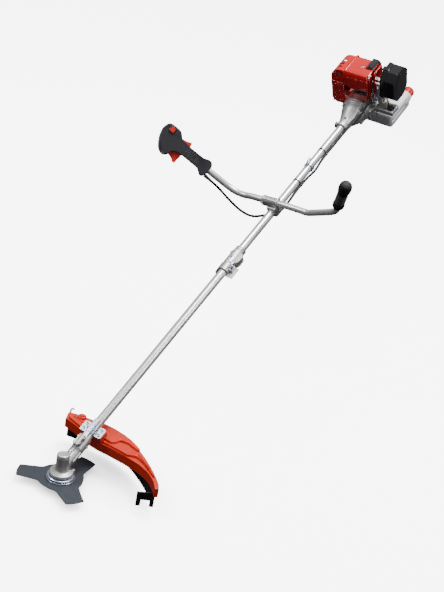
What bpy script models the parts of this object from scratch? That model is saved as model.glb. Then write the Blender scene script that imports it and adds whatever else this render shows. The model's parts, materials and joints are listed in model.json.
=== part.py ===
"""Brush cutter with a split shaft, bull-horn handlebar, three-tooth blade and two-stroke engine.

The machine is posed as it is used: the blade lies level and the shaft rises behind it along +Y.
+X is the operator's left, +Z is up, and the origin is the eye that the harness hooks into.
Metres throughout. Most pieces are drawn in the shaft frame, an empty at the gear centre:
local X across, local Y along the shaft towards the engine, local Z square to the shaft, upwards.
"""

import math

import bmesh
import bpy
from mathutils import Matrix, Vector

# Driving dimensions
SHAFT_RISE = math.radians(30)
GAP = 0.0003
ROUND = 16
COARSE = 10

TUBE_RADIUS = 0.014
TUBE_WALL = 0.0015
DRIVE_RADIUS = 0.004

BLADE_RADIUS = 0.1275
BLADE_THICKNESS = 0.002
BLADE_DROP = 0.033
BLADE_TURN = math.radians(88.8)
PINION_TEETH = 14
GEAR_TEETH = 19

TUBE_START = 0.052
GUARD_STATION = 0.146
GUARD_TOP = 0.045
GUARD_WALL = 0.003
COUPLER_START = 0.833
COUPLER_END = 0.942
BAR_STATION = 1.149
LOWER_TIE_STATION = 1.29
EYE_STATION = 1.375
EYE_HEIGHT = 0.031
BELL_START = 1.594
BELL_END = 1.698

BAR_RADIUS = 0.011
BAR_HEIGHT = 0.030
BAR_ROLL = math.radians(7.5)

# Where the control handle starts on the bar, its long axis and the side its palm rest faces, in the bar's frame
HANDLE_BASE = (-0.2371, -0.011, 0.1111)
HANDLE_AXIS = (-0.791, 0.014, 0.6115)
HANDLE_PALM = (0.3055, 0.875, 0.376)
HANDLE_SOCKET = 0.078
HANDLE_HALF_WIDTH = 0.017
HANDLE_WALL = 0.0025
CABLE_RADIUS = 0.0045

CRANK_STATION = 1.760
BORE_RADIUS = 0.020
HALF_STROKE = 0.014
COVER_LOW = 0.0515
COVER_HIGH = 0.160
FILTER_CENTRE = (1.778, 0.111)

ALONG_SHAFT = (-math.pi / 2, 0, 0)
ACROSS = (0, math.pi / 2, 0)


# ---------------------------------------------------------------- materials

def material(name, colour, roughness, metallic=0.0, alpha=1.0):
    made = bpy.data.materials.new(name)
    made.use_nodes = True
    shader = made.node_tree.nodes["Principled BSDF"]
    shader.inputs["Base Color"].default_value = (*colour, 1.0)
    shader.inputs["Roughness"].default_value = roughness
    shader.inputs["Metallic"].default_value = metallic
    shader.inputs["Alpha"].default_value = alpha
    return made


def make_materials():
    return {
        "silver_tube": material("silver_tube", (0.72, 0.73, 0.74), 0.32, 0.9),
        "cast_alloy": material("cast_alloy", (0.56, 0.56, 0.55), 0.45, 0.9),
        "zinc_steel": material("zinc_steel", (0.62, 0.65, 0.70), 0.3, 1.0),
        "bare_steel": material("bare_steel", (0.45, 0.45, 0.46), 0.35, 1.0),
        "blade_steel": material("blade_steel", (0.09, 0.10, 0.12), 0.45, 0.6),
        "guard_red": material("guard_red", (0.62, 0.06, 0.025), 0.4),
        "gloss_red": material("gloss_red", (0.55, 0.01, 0.01), 0.15),
        "trigger_red": material("trigger_red", (0.6, 0.02, 0.015), 0.3),
        "black_plastic": material("black_plastic", (0.012, 0.012, 0.014), 0.4),
        "gloss_black": material("gloss_black", (0.008, 0.008, 0.01), 0.12),
        "handle_black": material("handle_black", (0.025, 0.024, 0.03), 0.5),
        "black_rubber": material("black_rubber", (0.015, 0.015, 0.015), 0.75),
        "tank_plastic": material("tank_plastic", (0.75, 0.75, 0.77), 0.35, 0.0, 0.6),
        "foam": material("foam", (0.05, 0.05, 0.05), 0.9),
        "ceramic_white": material("ceramic_white", (0.85, 0.85, 0.82), 0.25),
    }


# ---------------------------------------------------------------- solids

def bridge(mesh, first, second):
    """Faces between two rings of points; a ring of one point is a pole."""
    count = max(len(first), len(second))
    for i in range(count):
        j = (i + 1) % count
        if len(first) == 1:
            corners = (first[0], second[j], second[i])
        elif len(second) == 1:
            corners = (first[i], first[j], second[0])
        else:
            corners = (first[i], first[j], second[j], second[i])
        mesh.faces.new(corners)


def turned(profile, sides=ROUND):
    """A solid turned about local Z from a closed outline of (radius, height) points; radius 0 is on the axis."""
    mesh = bmesh.new()
    rings = []
    for radius, height in profile:
        count = sides if radius > 0 else 1
        angles = [2 * math.pi * i / sides for i in range(count)]
        rings.append([mesh.verts.new((radius * math.cos(a), radius * math.sin(a), height)) for a in angles])
    for first, second in zip(rings, rings[1:] + rings[:1]):
        if len(first) > 1 or len(second) > 1:
            bridge(mesh, first, second)
    return mesh


def sleeve(outer, inner, low, high, sides=ROUND):
    return turned([(outer, high), (outer, low), (inner, low), (inner, high)], sides)


def rod(radius, low, high, sides=ROUND):
    return turned([(0, high), (radius, high), (radius, low), (0, low)], sides)


def prism(outline, low, high):
    """An outline of (x, y) points raised from low to high along local Z."""
    mesh = bmesh.new()
    bottom = [mesh.verts.new((x, y, low)) for x, y in outline]
    top = [mesh.verts.new((x, y, high)) for x, y in outline]
    mesh.faces.new(bottom)
    mesh.faces.new(top)
    bridge(mesh, bottom, top)
    return mesh


def block(low, high, bevel=0.0):
    """A box between two corners, with its edges rounded off by one flat."""
    mesh = bmesh.new()
    bmesh.ops.create_cube(mesh, size=1)
    size = [b - a for a, b in zip(low, high)]
    centre = [(a + b) / 2 for a, b in zip(low, high)]
    bmesh.ops.transform(mesh, matrix=Matrix.Translation(centre) @ Matrix.Diagonal((*size, 1)),
                        verts=mesh.verts)
    if bevel:
        bmesh.ops.bevel(mesh, geom=mesh.edges[:], offset=bevel, segments=1, affect="EDGES")
    return mesh


def swept(points, radius, inner=0.0, sides=COARSE):
    """A round bar, or a pipe with an inner radius, along a list of points."""
    points = [Vector(p) for p in points]
    mesh = bmesh.new()
    across = None
    outer_rings, inner_rings = [], []
    for i, point in enumerate(points):
        ahead = (points[min(i + 1, len(points) - 1)] - points[max(i - 1, 0)]).normalized()
        if across is None:
            across = ahead.orthogonal().normalized()
        across = (across - ahead * across.dot(ahead)).normalized()
        beside = ahead.cross(across)
        turns = [2 * math.pi * k / sides for k in range(sides)]
        spokes = [across * math.cos(a) + beside * math.sin(a) for a in turns]
        outer_rings.append([mesh.verts.new(point + spoke * radius) for spoke in spokes])
        if inner:
            inner_rings.append([mesh.verts.new(point + spoke * inner) for spoke in spokes])
    for rings in (outer_rings, inner_rings):
        for first, second in zip(rings, rings[1:]):
            bridge(mesh, first, second)
    if inner:
        bridge(mesh, outer_rings[0], inner_rings[0])
        bridge(mesh, outer_rings[-1], inner_rings[-1])
    else:
        mesh.faces.new(outer_rings[0])
        mesh.faces.new(outer_rings[-1])
    return mesh


def smooth_path(points, steps):
    """Points on a smooth curve through the given ones, steps for each span."""
    points = [Vector(p) for p in points]
    ends = [2 * points[0] - points[1], *points, 2 * points[-1] - points[-2]]
    path = []
    for a, b, c, d in zip(ends, ends[1:], ends[2:], ends[3:]):
        for k in range(steps):
            t = k / steps
            path.append(0.5 * (2 * b + (c - a) * t + (2 * a - 5 * b + 4 * c - d) * t**2
                               + (3 * b - a - 3 * c + d) * t**3))
    return [*path, points[-1]]


def inset(outline, wall):
    """A closed outline moved inwards by a wall's thickness."""
    points = [Vector(p) for p in outline]
    area = sum(a.x * b.y - b.x * a.y for a, b in zip(points, points[1:] + points[:1]))
    side = wall if area > 0 else -wall
    moved = []
    for before, here, after in zip(points[-1:] + points[:-1], points, points[1:] + points[:1]):
        first = (here - before).normalized()
        second = (after - here).normalized()
        normal = Vector((-first.y - second.y, first.x + second.x)).normalized()
        moved.append(here + normal * side / max(0.35, normal.dot(Vector((-first.y, first.x)))))
    return [tuple(p) for p in moved]


def arc(centre, radius, start, end, count):
    """Points on an arc, in the plane, from one angle in degrees to another."""
    angles = [math.radians(start + (end - start) * i / (count - 1)) for i in range(count)]
    return [(centre[0] + radius * math.cos(a), centre[1] + radius * math.sin(a)) for a in angles]


def merged(*meshes):
    """Several shapes in one mesh, for a cutter whose pieces lie apart."""
    whole = bmesh.new()
    for mesh in meshes:
        spare = bpy.data.meshes.new("spare")
        mesh.to_mesh(spare)
        mesh.free()
        whole.from_mesh(spare)
        bpy.data.meshes.remove(spare)
    return whole


# ---------------------------------------------------------------- objects

def place(name, mesh, finish=None, parent=None, at=(0, 0, 0), turn=(0, 0, 0)):
    """One object of the scene from a mesh in its own coordinates."""
    bmesh.ops.recalc_face_normals(mesh, faces=mesh.faces)
    data = bpy.data.meshes.new(name)
    mesh.to_mesh(data)
    mesh.free()
    data.shade_smooth()
    data.set_sharp_from_angle(angle=math.radians(40))
    piece = bpy.data.objects.new(name, data)
    bpy.context.scene.collection.objects.link(piece)
    piece.parent = parent
    piece.location = at
    piece.rotation_euler = turn
    if finish:
        data.materials.append(finish)
    return piece


def combine(piece, mesh, operation, at=(0, 0, 0), turn=(0, 0, 0)):
    """Cuts a shape out of a piece, or unites it with the piece. The shape is placed like the piece's siblings."""
    helper = place(f"{piece.name}_{operation.lower()}_{len(piece.modifiers)}", mesh, None, piece.parent, at,
                   turn)
    helper.hide_render = True
    helper.display_type = "WIRE"
    step = piece.modifiers.new(operation.title(), "BOOLEAN")
    step.operation = operation
    step.object = helper
    step.solver = "EXACT"


def cut(piece, mesh, at=(0, 0, 0), turn=(0, 0, 0)):
    combine(piece, mesh, "DIFFERENCE", at, turn)


def unite(piece, mesh, at=(0, 0, 0), turn=(0, 0, 0)):
    combine(piece, mesh, "UNION", at, turn)


def frame_at(name, parent, at, turn=(0, 0, 0)):
    """An empty that carries the pieces drawn in its axes."""
    carrier = bpy.data.objects.new(name, None)
    bpy.context.scene.collection.objects.link(carrier)
    carrier.parent = parent
    carrier.location = at
    carrier.rotation_euler = turn
    return carrier


# ---------------------------------------------------------------- shaft

def make_tubes(shaft, finish):
    inner = TUBE_RADIUS - TUBE_WALL
    joint = (COUPLER_START + COUPLER_END) / 2
    lower = sleeve(TUBE_RADIUS, inner, TUBE_START, joint - 0.001)
    upper = sleeve(TUBE_RADIUS, inner, joint + 0.001, BELL_START + 0.05)
    place("lower_tube", lower, finish["silver_tube"], shaft, turn=ALONG_SHAFT)
    place("upper_tube", upper, finish["silver_tube"], shaft, turn=ALONG_SHAFT)
    for name, station in (("lower_bush", 0.45), ("upper_bush", 1.25)):
        bush = sleeve(inner - GAP, DRIVE_RADIUS + GAP, station - 0.02, station + 0.02, COARSE)
        place(name, bush, finish["black_rubber"], shaft, turn=ALONG_SHAFT)
    place("lower_drive_shaft", rod(DRIVE_RADIUS, 0.0385, joint, 12), finish["bare_steel"], shaft,
          turn=ALONG_SHAFT)
    place("upper_drive_shaft", rod(DRIVE_RADIUS, joint + GAP, BELL_START + 0.0487, 12),
          finish["bare_steel"],
          shaft, turn=ALONG_SHAFT)


def make_coupler(shaft, finish):
    """Cast sleeve that joins the two tubes, split along one side and drawn together by a hand knob."""
    bore = TUBE_RADIUS + GAP
    profile = [(bore, COUPLER_END), (0.0185, COUPLER_END), (0.0185, 0.937), (0.0172, 0.936),
               (0.0172, 0.933),
               (0.0185, 0.932), (0.0185, 0.927), (0.0205, 0.922), (0.0205, 0.868), (0.0188, 0.864),
               (0.0188, 0.838), (0.0175, COUPLER_START), (bore, COUPLER_START)]
    body = place("coupler_body", turned(profile), finish["cast_alloy"], shaft, turn=ALONG_SHAFT)
    hump = prism([(0.010, 0.872), (0.028, 0.880), (0.028, 0.910), (0.010, 0.922)], -0.011, 0.011)
    unite(body, hump)
    lug = block((0.008, 0.842, -0.014), (0.030, 0.864, 0.010), 0.002)
    unite(body, lug)
    cut(body, rod(bore, 0.82, 0.96), turn=ALONG_SHAFT)
    cut(body, block((0.010, 0.82, -0.0035), (0.040, 0.8675, -0.001)))
    cut(body, rod(0.0035, -0.03, 0.03, COARSE), at=(0.0235, 0.853, 0))
    cut(body, rod(0.0045, 0.012, 0.03, COARSE), at=(0, 0.890, 0))

    knob = place("coupler_knob", rod(0.0031, -0.0135, 0.022, 12), finish["zinc_steel"], shaft,
                 at=(0.0235, 0.853, 0))
    unite(knob, block((0.0235 - 0.004, 0.853 - 0.013, 0.0215), (0.0235 + 0.004, 0.853 + 0.013, 0.031),
                      0.0015))

    pin = turned([(0, 0.0245), (0.0030, 0.0245), (0.0038, 0.0235), (0.0038, TUBE_RADIUS + 2 * GAP),
                  (0, TUBE_RADIUS + 2 * GAP)], 12)
    place("coupler_pin", pin, finish["zinc_steel"], shaft, at=(0, 0.890, 0))


# ---------------------------------------------------------------- gear head and blade

def toothed_cone(teeth, near, far, depth):
    """A bevel gear about local Z, apex at the origin, between two (radius, height) rings.

    The teeth are low, so that two such gears turn past each other without meshing.
    """
    mesh = bmesh.new()
    rings = []
    for radius, height in (near, far):
        ring = []
        for i in range(teeth * 4):
            angle = 2 * math.pi * i / (teeth * 4)
            reach = radius if i % 4 < 2 else radius * (1 - depth)
            ring.append(mesh.verts.new((reach * math.cos(angle), reach * math.sin(angle), height)))
        rings.append(ring)
    bridge(mesh, rings[0], rings[1])
    mesh.faces.new(rings[0])
    mesh.faces.new(rings[1])
    return mesh


def make_gear_head(shaft, upright, finish):
    """Cast case of the bevel gears: an upright barrel for the blade shaft and an arm that holds the tube."""
    barrel = turned([(0, 0.048), (0.014, 0.048), (0.0175, 0.0455), (0.0185, 0.041), (0.0185, -0.004),
                     (0.022, -0.008), (0.0345, -0.011), (0.0345, -0.018), (0, -0.018)])
    case = place("gear_head_case", barrel, finish["cast_alloy"], upright)
    arm_turn = (SHAFT_RISE - math.pi / 2, 0, 0)
    arm = turned([(0, 0.112), (0.0185, 0.112), (0.0190, 0.108), (0.0190, 0.070), (0.0172, 0.064),
                  (0.0172, 0.0), (0, 0.0)])
    unite(case, arm, turn=arm_turn)
    lug_turn = (SHAFT_RISE, 0, 0)
    unite(case, block((-0.0085, 0.072, 0.012), (0.0085, 0.106, 0.031), 0.002), turn=lug_turn)
    cut(case, turned([(0, 0.0418), (0.0152, 0.0418), (0.0152, -0.03), (0, -0.03)]))
    cut(case, turned([(0, 0.13), (TUBE_RADIUS + GAP, 0.13), (TUBE_RADIUS + GAP, TUBE_START - 0.004),
                      (0.0125, TUBE_START - 0.005), (0.0125, 0.0), (0, 0.0)]), turn=arm_turn)
    cut(case, block((-0.001, 0.060, 0.010), (0.001, 0.13, 0.04)), turn=lug_turn)

    # The bevel gears share an apex at the gear centre; their teeth stand clear of each other at any angle.
    pitch = math.radians(25)
    gear_pitch = math.radians(60) - pitch
    slack = 0.0007
    pinion = toothed_cone(PINION_TEETH, (0.017 * math.sin(pitch) - slack, 0.017 * math.cos(pitch)),
                          (0.025 * math.sin(pitch) - slack, 0.025 * math.cos(pitch)), 0.12)
    bevel_pinion = place("bevel_pinion", pinion, finish["bare_steel"], shaft, turn=ALONG_SHAFT)
    unite(bevel_pinion, rod(0.0065, 0.021, 0.038, 12), turn=ALONG_SHAFT)
    gear = toothed_cone(GEAR_TEETH, (0.017 * math.sin(gear_pitch) - slack, 0.017 * math.cos(gear_pitch)),
                        (0.025 * math.sin(gear_pitch) - slack, 0.025 * math.cos(gear_pitch)), 0.09)
    bevel_gear = place("bevel_gear", gear, finish["bare_steel"], upright)
    cut(bevel_gear, rod(0.0045, 0.005, 0.03, COARSE))

    spindle = turned([(0, 0.039), (0.0042, 0.039), (0.0042, 0.006), (0.0055, 0.004), (0.0055, -0.014),
                      (0.0045, -0.016), (0.0045, -0.0445), (0, -0.0445)], COARSE)
    place("output_shaft", spindle, finish["bare_steel"], upright)
    bearing = sleeve(0.0149, 0.0058, -0.0135, -0.0045)
    place("output_bearing", bearing, finish["bare_steel"], upright)

    top = -BLADE_DROP + BLADE_THICKNESS / 2
    upper = turned([(0.0048, -0.0183), (0.0150, -0.0183), (0.0395, -0.0213), (0.0405, -0.0225),
                    (0.0405, -0.0245), (0.0330, -0.0255), (0.0330, -0.0275), (0.0425, -0.0285),
                    (0.0425, top + GAP), (0.0048, top + GAP)])
    place("upper_flange", upper, finish["zinc_steel"], upright)
    make_blade(upright, finish)
    under = -BLADE_DROP - BLADE_THICKNESS / 2
    lower = sleeve(0.0300, 0.0048, under - 0.0035, under - GAP)
    place("lower_flange", lower, finish["zinc_steel"], upright)
    nut = place("blade_nut", rod(0.0095, under - 0.0100, under - 0.0038, 6), finish["zinc_steel"], upright)
    cut(nut, rod(0.0048, under - 0.02, under, COARSE))
    cup = turned([(0.0295, under - 0.0039), (0.0325, under - 0.0039), (0.0335, under - 0.0100),
                  (0.0290, under - 0.0230), (0, under - 0.0230), (0, under - 0.0205), (0.0270,
                                                                                       under - 0.0205),
                  (0.0310, under - 0.0105)])
    place("stabiliser_cup", cup, finish["black_plastic"], upright)


def make_blade(upright, finish):
    """Three broad teeth on a round plate, each with straight cutting edges that widen a little outwards."""
    outline = []
    for k in range(3):
        turn = BLADE_TURN + k * 2 * math.pi / 3
        tooth = [(0.0675, -46), (0.068, -31), (0.0925, -19.8), (0.1265, -12), (BLADE_RADIUS, 0),
                 (0.1265, 12.5), (0.107, 15.6), (0.072, 27.5), (0.068, 46)]
        outline += [(r * math.cos(turn + math.radians(a)), r * math.sin(turn + math.radians(a)))
                    for r, a in tooth]
    half = BLADE_THICKNESS / 2
    blade = place("blade", prism(outline, -BLADE_DROP - half, -BLADE_DROP + half), finish["blade_steel"],
                  upright)
    cut(blade, rod(0.0048, -BLADE_DROP - 0.01, -BLADE_DROP + 0.01, COARSE))


# ---------------------------------------------------------------- guard

def inset(outline, wall):
    """The outline, which runs clockwise, with every side moved in by the wall; the corners stay mitred."""
    points = [Vector(point) for point in outline]
    moved = []
    for before, point, after in zip([points[-1], *points[:-1]], points, [*points[1:], points[0]]):
        first = (point - before).normalized()
        second = (after - point).normalized()
        bisector = (Vector((first.y, -first.x)) + Vector((second.y, -second.x))).normalized()
        moved.append(tuple(point + bisector * (wall / bisector.dot(Vector((first.y, -first.x))))))
    return moved


# The hood's plan about the blade axis, clockwise: its outer edge from left to right, then the one by the blade
HOOD_OUTER = [(-0.142, 0.189), (-0.105, 0.198), (-0.067, 0.205), (-0.020, 0.211), (0.025, 0.212),
              (0.062, 0.208),
              (0.095, 0.200), (0.126, 0.188), (0.160, 0.170), (0.195, 0.149), (0.225, 0.128), (0.252,
                                                                                               0.107),
              (0.271, 0.090), (0.284, 0.074)]
HOOD_INNER = [(0.277, 0.064), (0.253, 0.089), (0.219, 0.111), (0.178, 0.125), (0.137, 0.129),
              (0.103, 0.130),
              (0.060, 0.130), (0.020, 0.129), (-0.020, 0.133), (-0.074, 0.147), (-0.126, 0.157)]
SKIRT_INSET = 0.0045


def make_guard(shaft, upright, finish):
    """A hood over the back of the blade, with a black skirt that hangs inside its outer wall."""
    low = GUARD_TOP - 0.033
    hood = HOOD_OUTER + HOOD_INNER
    shell = place("guard_shell", prism(hood, low, GUARD_TOP), finish["guard_red"], upright)
    cut(shell, prism(inset(hood, GUARD_WALL), low - 0.01, GUARD_TOP - GUARD_WALL))
    plinth = block((-0.045, 0.143, 0.030), (0.045, 0.200, 0.0535), 0.005)
    unite(shell, plinth)
    rib = [(0.030, 0.205), (0.062, 0.201), (0.095, 0.193), (0.126, 0.181), (0.160, 0.163), (0.175, 0.145),
           (0.140, 0.150), (0.100, 0.162), (0.030, 0.170)]
    unite(shell, prism(rib, 0.0425, 0.052))
    cut(shell, block((-0.042, 0.146, 0.02), (0.042, 0.197, 0.0422)))

    # The skirt follows the outer edge, and its right end turns in as a plate that is notched from below.
    outer = inset(hood, SKIRT_INSET)[:len(HOOD_OUTER) - 1]
    inner = inset(hood, SKIRT_INSET + GUARD_WALL)[:len(HOOD_OUTER) - 1]
    skirt = place("guard_skirt", prism(outer + inner[::-1], -0.038, GUARD_TOP - GUARD_WALL - GAP),
                  finish["black_plastic"], upright)
    end = [(0.2672, 0.0860), (0.2262, 0.0565), (0.2247, 0.0586), (0.2637, 0.0886)]
    unite(skirt, prism(end, -0.038, 0.009))
    notch = [(0.2610, 0.0745), (0.2405, 0.0597), (0.2335, 0.0695), (0.2540, 0.0843)]
    cut(skirt, prism(notch, -0.05, -0.017))

    # The bracket straddles the tube: a bent strip above and a saddle below, bolted through both ears.
    grip = TUBE_RADIUS + GAP
    front = GUARD_STATION - 0.017
    back = GUARD_STATION + 0.017
    cap = place("guard_bracket_cap", sleeve(grip + 0.0025, grip, front, back), finish["zinc_steel"], shaft,
                turn=ALONG_SHAFT)
    unite(cap, block((-0.038, front, -0.002), (0.038, back, 0.0025)))
    cut(cap, block((-0.05, front - 0.01, -0.03), (0.05, back + 0.01, GAP)))
    cut(cap, rod(grip, front - 0.01, back + 0.01), turn=ALONG_SHAFT)
    saddle = place("guard_bracket", block((-0.038, front, -0.024), (0.038, back, -GAP)),
                   finish["zinc_steel"],
                   shaft)
    cut(saddle, rod(grip, front - 0.01, back + 0.01), turn=ALONG_SHAFT)
    for piece in (cap, saddle):
        for x in (-0.026, 0.026):
            cut(piece, rod(0.0027, -0.04, 0.02, 12), at=(x, GUARD_STATION, 0))


# ---------------------------------------------------------------- handlebar

def bar_points(side):
    """The bar's centre line on one side of the clamp, outwards: level, then a bend up towards the grip."""
    if side > 0:
        corners = [(0.030, 0.0, BAR_HEIGHT), (0.060, 0.0, 0.0298), (0.109, 0.0, 0.0265),
                   (0.134, 0.0, 0.025),
                   (0.158, -0.001, 0.033), (0.206, -0.006, 0.0545), (0.244, -0.010, 0.0725),
                   (0.2635, -0.0135, 0.0862), (0.274, -0.014, 0.108), (0.3145, -0.016, 0.193)]
    else:
        corners = [(-0.045, 0.0, BAR_HEIGHT), (-0.088, 0.0, 0.030), (-0.117, -0.001, 0.0285),
                   (-0.147, -0.003, 0.0356), (-0.170, -0.004, 0.0485), (-0.192, -0.006, 0.0680),
                   (-0.2145, -0.009, 0.0900), HANDLE_BASE]
    return corners


def make_handlebar(bar, finish):
    left = bar_points(1)
    socket_end = Vector(HANDLE_BASE) + Vector(HANDLE_AXIS) * HANDLE_SOCKET
    right = [*bar_points(-1), socket_end]
    path = smooth_path([*reversed(right), *left], 2)
    place("handlebar", swept(path, BAR_RADIUS, BAR_RADIUS - 0.0015), finish["silver_tube"], bar)

    low = block((-0.040, -0.013, 0.0155), (0.022, 0.013, BAR_HEIGHT - GAP), 0.0015)
    clamp = place("handlebar_clamp_lower", low, finish["cast_alloy"], bar)
    unite(clamp, block((-0.020, -0.020, -0.018), (0.020, 0.020, 0.018), 0.005))
    cut(clamp, rod(TUBE_RADIUS + GAP, -0.05, 0.05), turn=ALONG_SHAFT)
    cut(clamp, rod(BAR_RADIUS + GAP, -0.06, 0.06), at=(0, 0, BAR_HEIGHT), turn=ACROSS)
    top = block((-0.040, -0.013, BAR_HEIGHT + GAP), (0.022, 0.013, BAR_HEIGHT + 0.014), 0.004)
    cap = place("handlebar_clamp_upper", top, finish["cast_alloy"], bar)
    cut(cap, rod(BAR_RADIUS + GAP, -0.06, 0.06), at=(0, 0, BAR_HEIGHT), turn=ACROSS)

    # The plain grip is a ribbed rubber sleeve with a bulb at its end, pushed over the bar.
    base = Vector(left[-2])
    along = (Vector(left[-1]) - base).normalized()
    turn = along.to_track_quat("Z", "Y").to_euler()
    hole = BAR_RADIUS + GAP
    solid = turned([(0, 0.126), (0.0140, 0.124), (0.0195, 0.116), (0.0210, 0.100), (0.0195, 0.084),
                    (0.0165, 0.074), (0.0165, 0.026), (0.0190, 0.020), (0.0190, 0.006), (0.0165, 0.0), (0,
                                                                                                        0.0)])
    left_grip = place("left_grip", solid, finish["black_rubber"], bar, base, turn)
    cut(left_grip, rod(hole, -0.01, 0.1), at=base, turn=turn)


# ---------------------------------------------------------------- control handle

def handle_outline():
    """Side view of the control handle: x along the grip from its socket, y towards the palm."""
    return [(0, -0.014), (0, 0.016), (0.006, 0.027), (0.020, 0.029), (0.030, 0.024), (0.038, 0.0205),
            (0.100, 0.0195), (0.128, 0.022), (0.141, 0.028), (0.153, 0.042), (0.192, 0.043), (0.206, 0.036),
            (0.212, 0.010), (0.205, -0.015), (0.193, -0.037), (0.178, -0.055), (0.163, -0.060),
            (0.150, -0.055), (0.141, -0.038), (0.134, -0.022), (0.104, -0.018), (0.040, -0.0175),
            (0.030, -0.022), (0.020, -0.0315), (0.009, -0.031)]


def make_control_handle(bar, finish):
    """Two moulded half shells around the bar's end, with a trigger, its lock-off lever and a stop switch."""
    along = Vector(HANDLE_AXIS).normalized()
    palm = Vector(HANDLE_PALM)
    palm = (palm - along * palm.dot(along)).normalized()
    axes = Matrix((along, palm, along.cross(palm))).transposed()
    handle = frame_at("handle_frame", bar, HANDLE_BASE, axes.to_euler())
    hollow = HANDLE_HALF_WIDTH - HANDLE_WALL
    halves = (("control_handle_front", -HANDLE_HALF_WIDTH, -GAP / 2), ("control_handle_rear", GAP / 2,
                                                                         HANDLE_HALF_WIDTH))
    for name, low, high in halves:
        half = place(name, prism(handle_outline(), low, high), finish["handle_black"], handle)
        cut(half, prism(inset(handle_outline(), HANDLE_WALL), -hollow, hollow))
        cut(half, rod(BAR_RADIUS + GAP, -0.01, HANDLE_SOCKET + 0.01), turn=ACROSS)
        cut(half, merged(block((0.104, -0.07, -0.0075), (0.143, -0.010, 0.0075)),
                         block((0.097, 0.010, -0.0060), (0.136, 0.050, 0.0060))))
        cut(half, rod(CABLE_RADIUS + GAP, -0.02, 0.012), at=(0, -0.021, 0), turn=ACROSS)
        if low < -hollow:
            cut(half, block((0.1705, 0.0180, -0.03), (0.1905, 0.0360, -0.010)))

    pivot = (0.136, -0.015)
    outline = [(0.139, -0.012), (0.1405, -0.030), (0.128, -0.041), (0.119, -0.045), (0.108, -0.051),
               (0.1055, -0.047), (0.110, -0.030), (0.111, -0.013)]
    shifted = [(x - pivot[0], y - pivot[1]) for x, y in outline]
    place("throttle_trigger", prism(shifted, -0.0068, 0.0068), finish["trigger_red"], handle, (*pivot, 0))
    pivot = (0.130, 0.014)
    outline = [(0.100, 0.013), (0.102, 0.024), (0.107, 0.034), (0.1105, 0.0355), (0.113, 0.033),
               (0.128, 0.0245), (0.134, 0.021), (0.134, 0.011)]
    shifted = [(x - pivot[0], y - pivot[1]) for x, y in outline]
    place("lock_off_lever", prism(shifted, -0.0053, 0.0053), finish["trigger_red"], handle, (*pivot, 0))
    rocker = [(-0.0085, 0.006), (-0.0085, -0.0052), (0, -0.0035), (0.0085, -0.0052), (0.0085, 0.006)]
    place("stop_switch", prism(rocker, -0.0082, 0.0082), finish["trigger_red"], handle,
          (0.1805, 0.027, -0.015),
          (-math.pi / 2, 0, 0))


# ---------------------------------------------------------------- cable and harness

def make_cable(shaft, finish):
    """Throttle conduit: from the control handle, under the clamp, then tied along the tube to the engine."""
    route = [(-0.2537, 1.1196, 0.0697), (-0.2397, 1.1194, 0.0605), (-0.2135, 1.1298, 0.0217),
             (-0.1740, 1.1300, -0.0190), (-0.1300, 1.1290, -0.0500), (-0.0850, 1.1290, -0.0560),
             (-0.0400, 1.1340, -0.0370), (0.0000, 1.1520, -0.0260), (0.0110, 1.1760, -0.0215),
             (0.0180, 1.2050, -0.0110), (0.0180, 1.2500, -0.0058), (0.0177, 1.2900, -0.0056),
             (0.0190, 1.3300, -0.0060), (0.0225, 1.3750, -0.0080), (0.0190, 1.4200, -0.0060),
             (0.0177, 1.4600, -0.0056), (0.0185, 1.5100, -0.0050), (0.0220, 1.5600, 0.0010),
             (0.0270, 1.5950, 0.0080), (0.0390, 1.6400, 0.0180), (0.0450, 1.6700, 0.0310),
             (0.0480, 1.6950, 0.0430), (0.0525, 1.7120, 0.0500), (0.0545, 1.7220, 0.0550)]
    curve = bpy.data.curves.new("throttle_cable", "CURVE")
    curve.dimensions = "3D"
    curve.bevel_depth = CABLE_RADIUS
    curve.bevel_resolution = 1
    curve.use_fill_caps = True
    line = curve.splines.new("POLY")
    path = smooth_path(route, 3)
    line.points.add(len(path) - 1)
    for knot, point in zip(line.points, path):
        knot.co = (*point, 1)
    cable = bpy.data.objects.new("throttle_cable", curve)
    curve.materials.append(finish["black_rubber"])
    bpy.context.scene.collection.objects.link(cable)
    cable.parent = shaft

    tie = sleeve(0.0150, 0.0143, LOWER_TIE_STATION - 0.002, LOWER_TIE_STATION + 0.002)
    band = place("cable_tie", tie, finish["black_plastic"], shaft, turn=ALONG_SHAFT)
    loop = sleeve(CABLE_RADIUS + 0.0011, CABLE_RADIUS + GAP, LOWER_TIE_STATION - 0.002,
                  LOWER_TIE_STATION + 0.002)
    unite(band, loop, at=(0.0177, 0, -0.0056), turn=ALONG_SHAFT)
    cut(band, rod(0.0143, LOWER_TIE_STATION - 0.01, LOWER_TIE_STATION + 0.01), turn=ALONG_SHAFT)
    cut(band, rod(CABLE_RADIUS + GAP, LOWER_TIE_STATION - 0.01, LOWER_TIE_STATION + 0.01),
        (0.0177, 0, -0.0056),
        ALONG_SHAFT)


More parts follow.
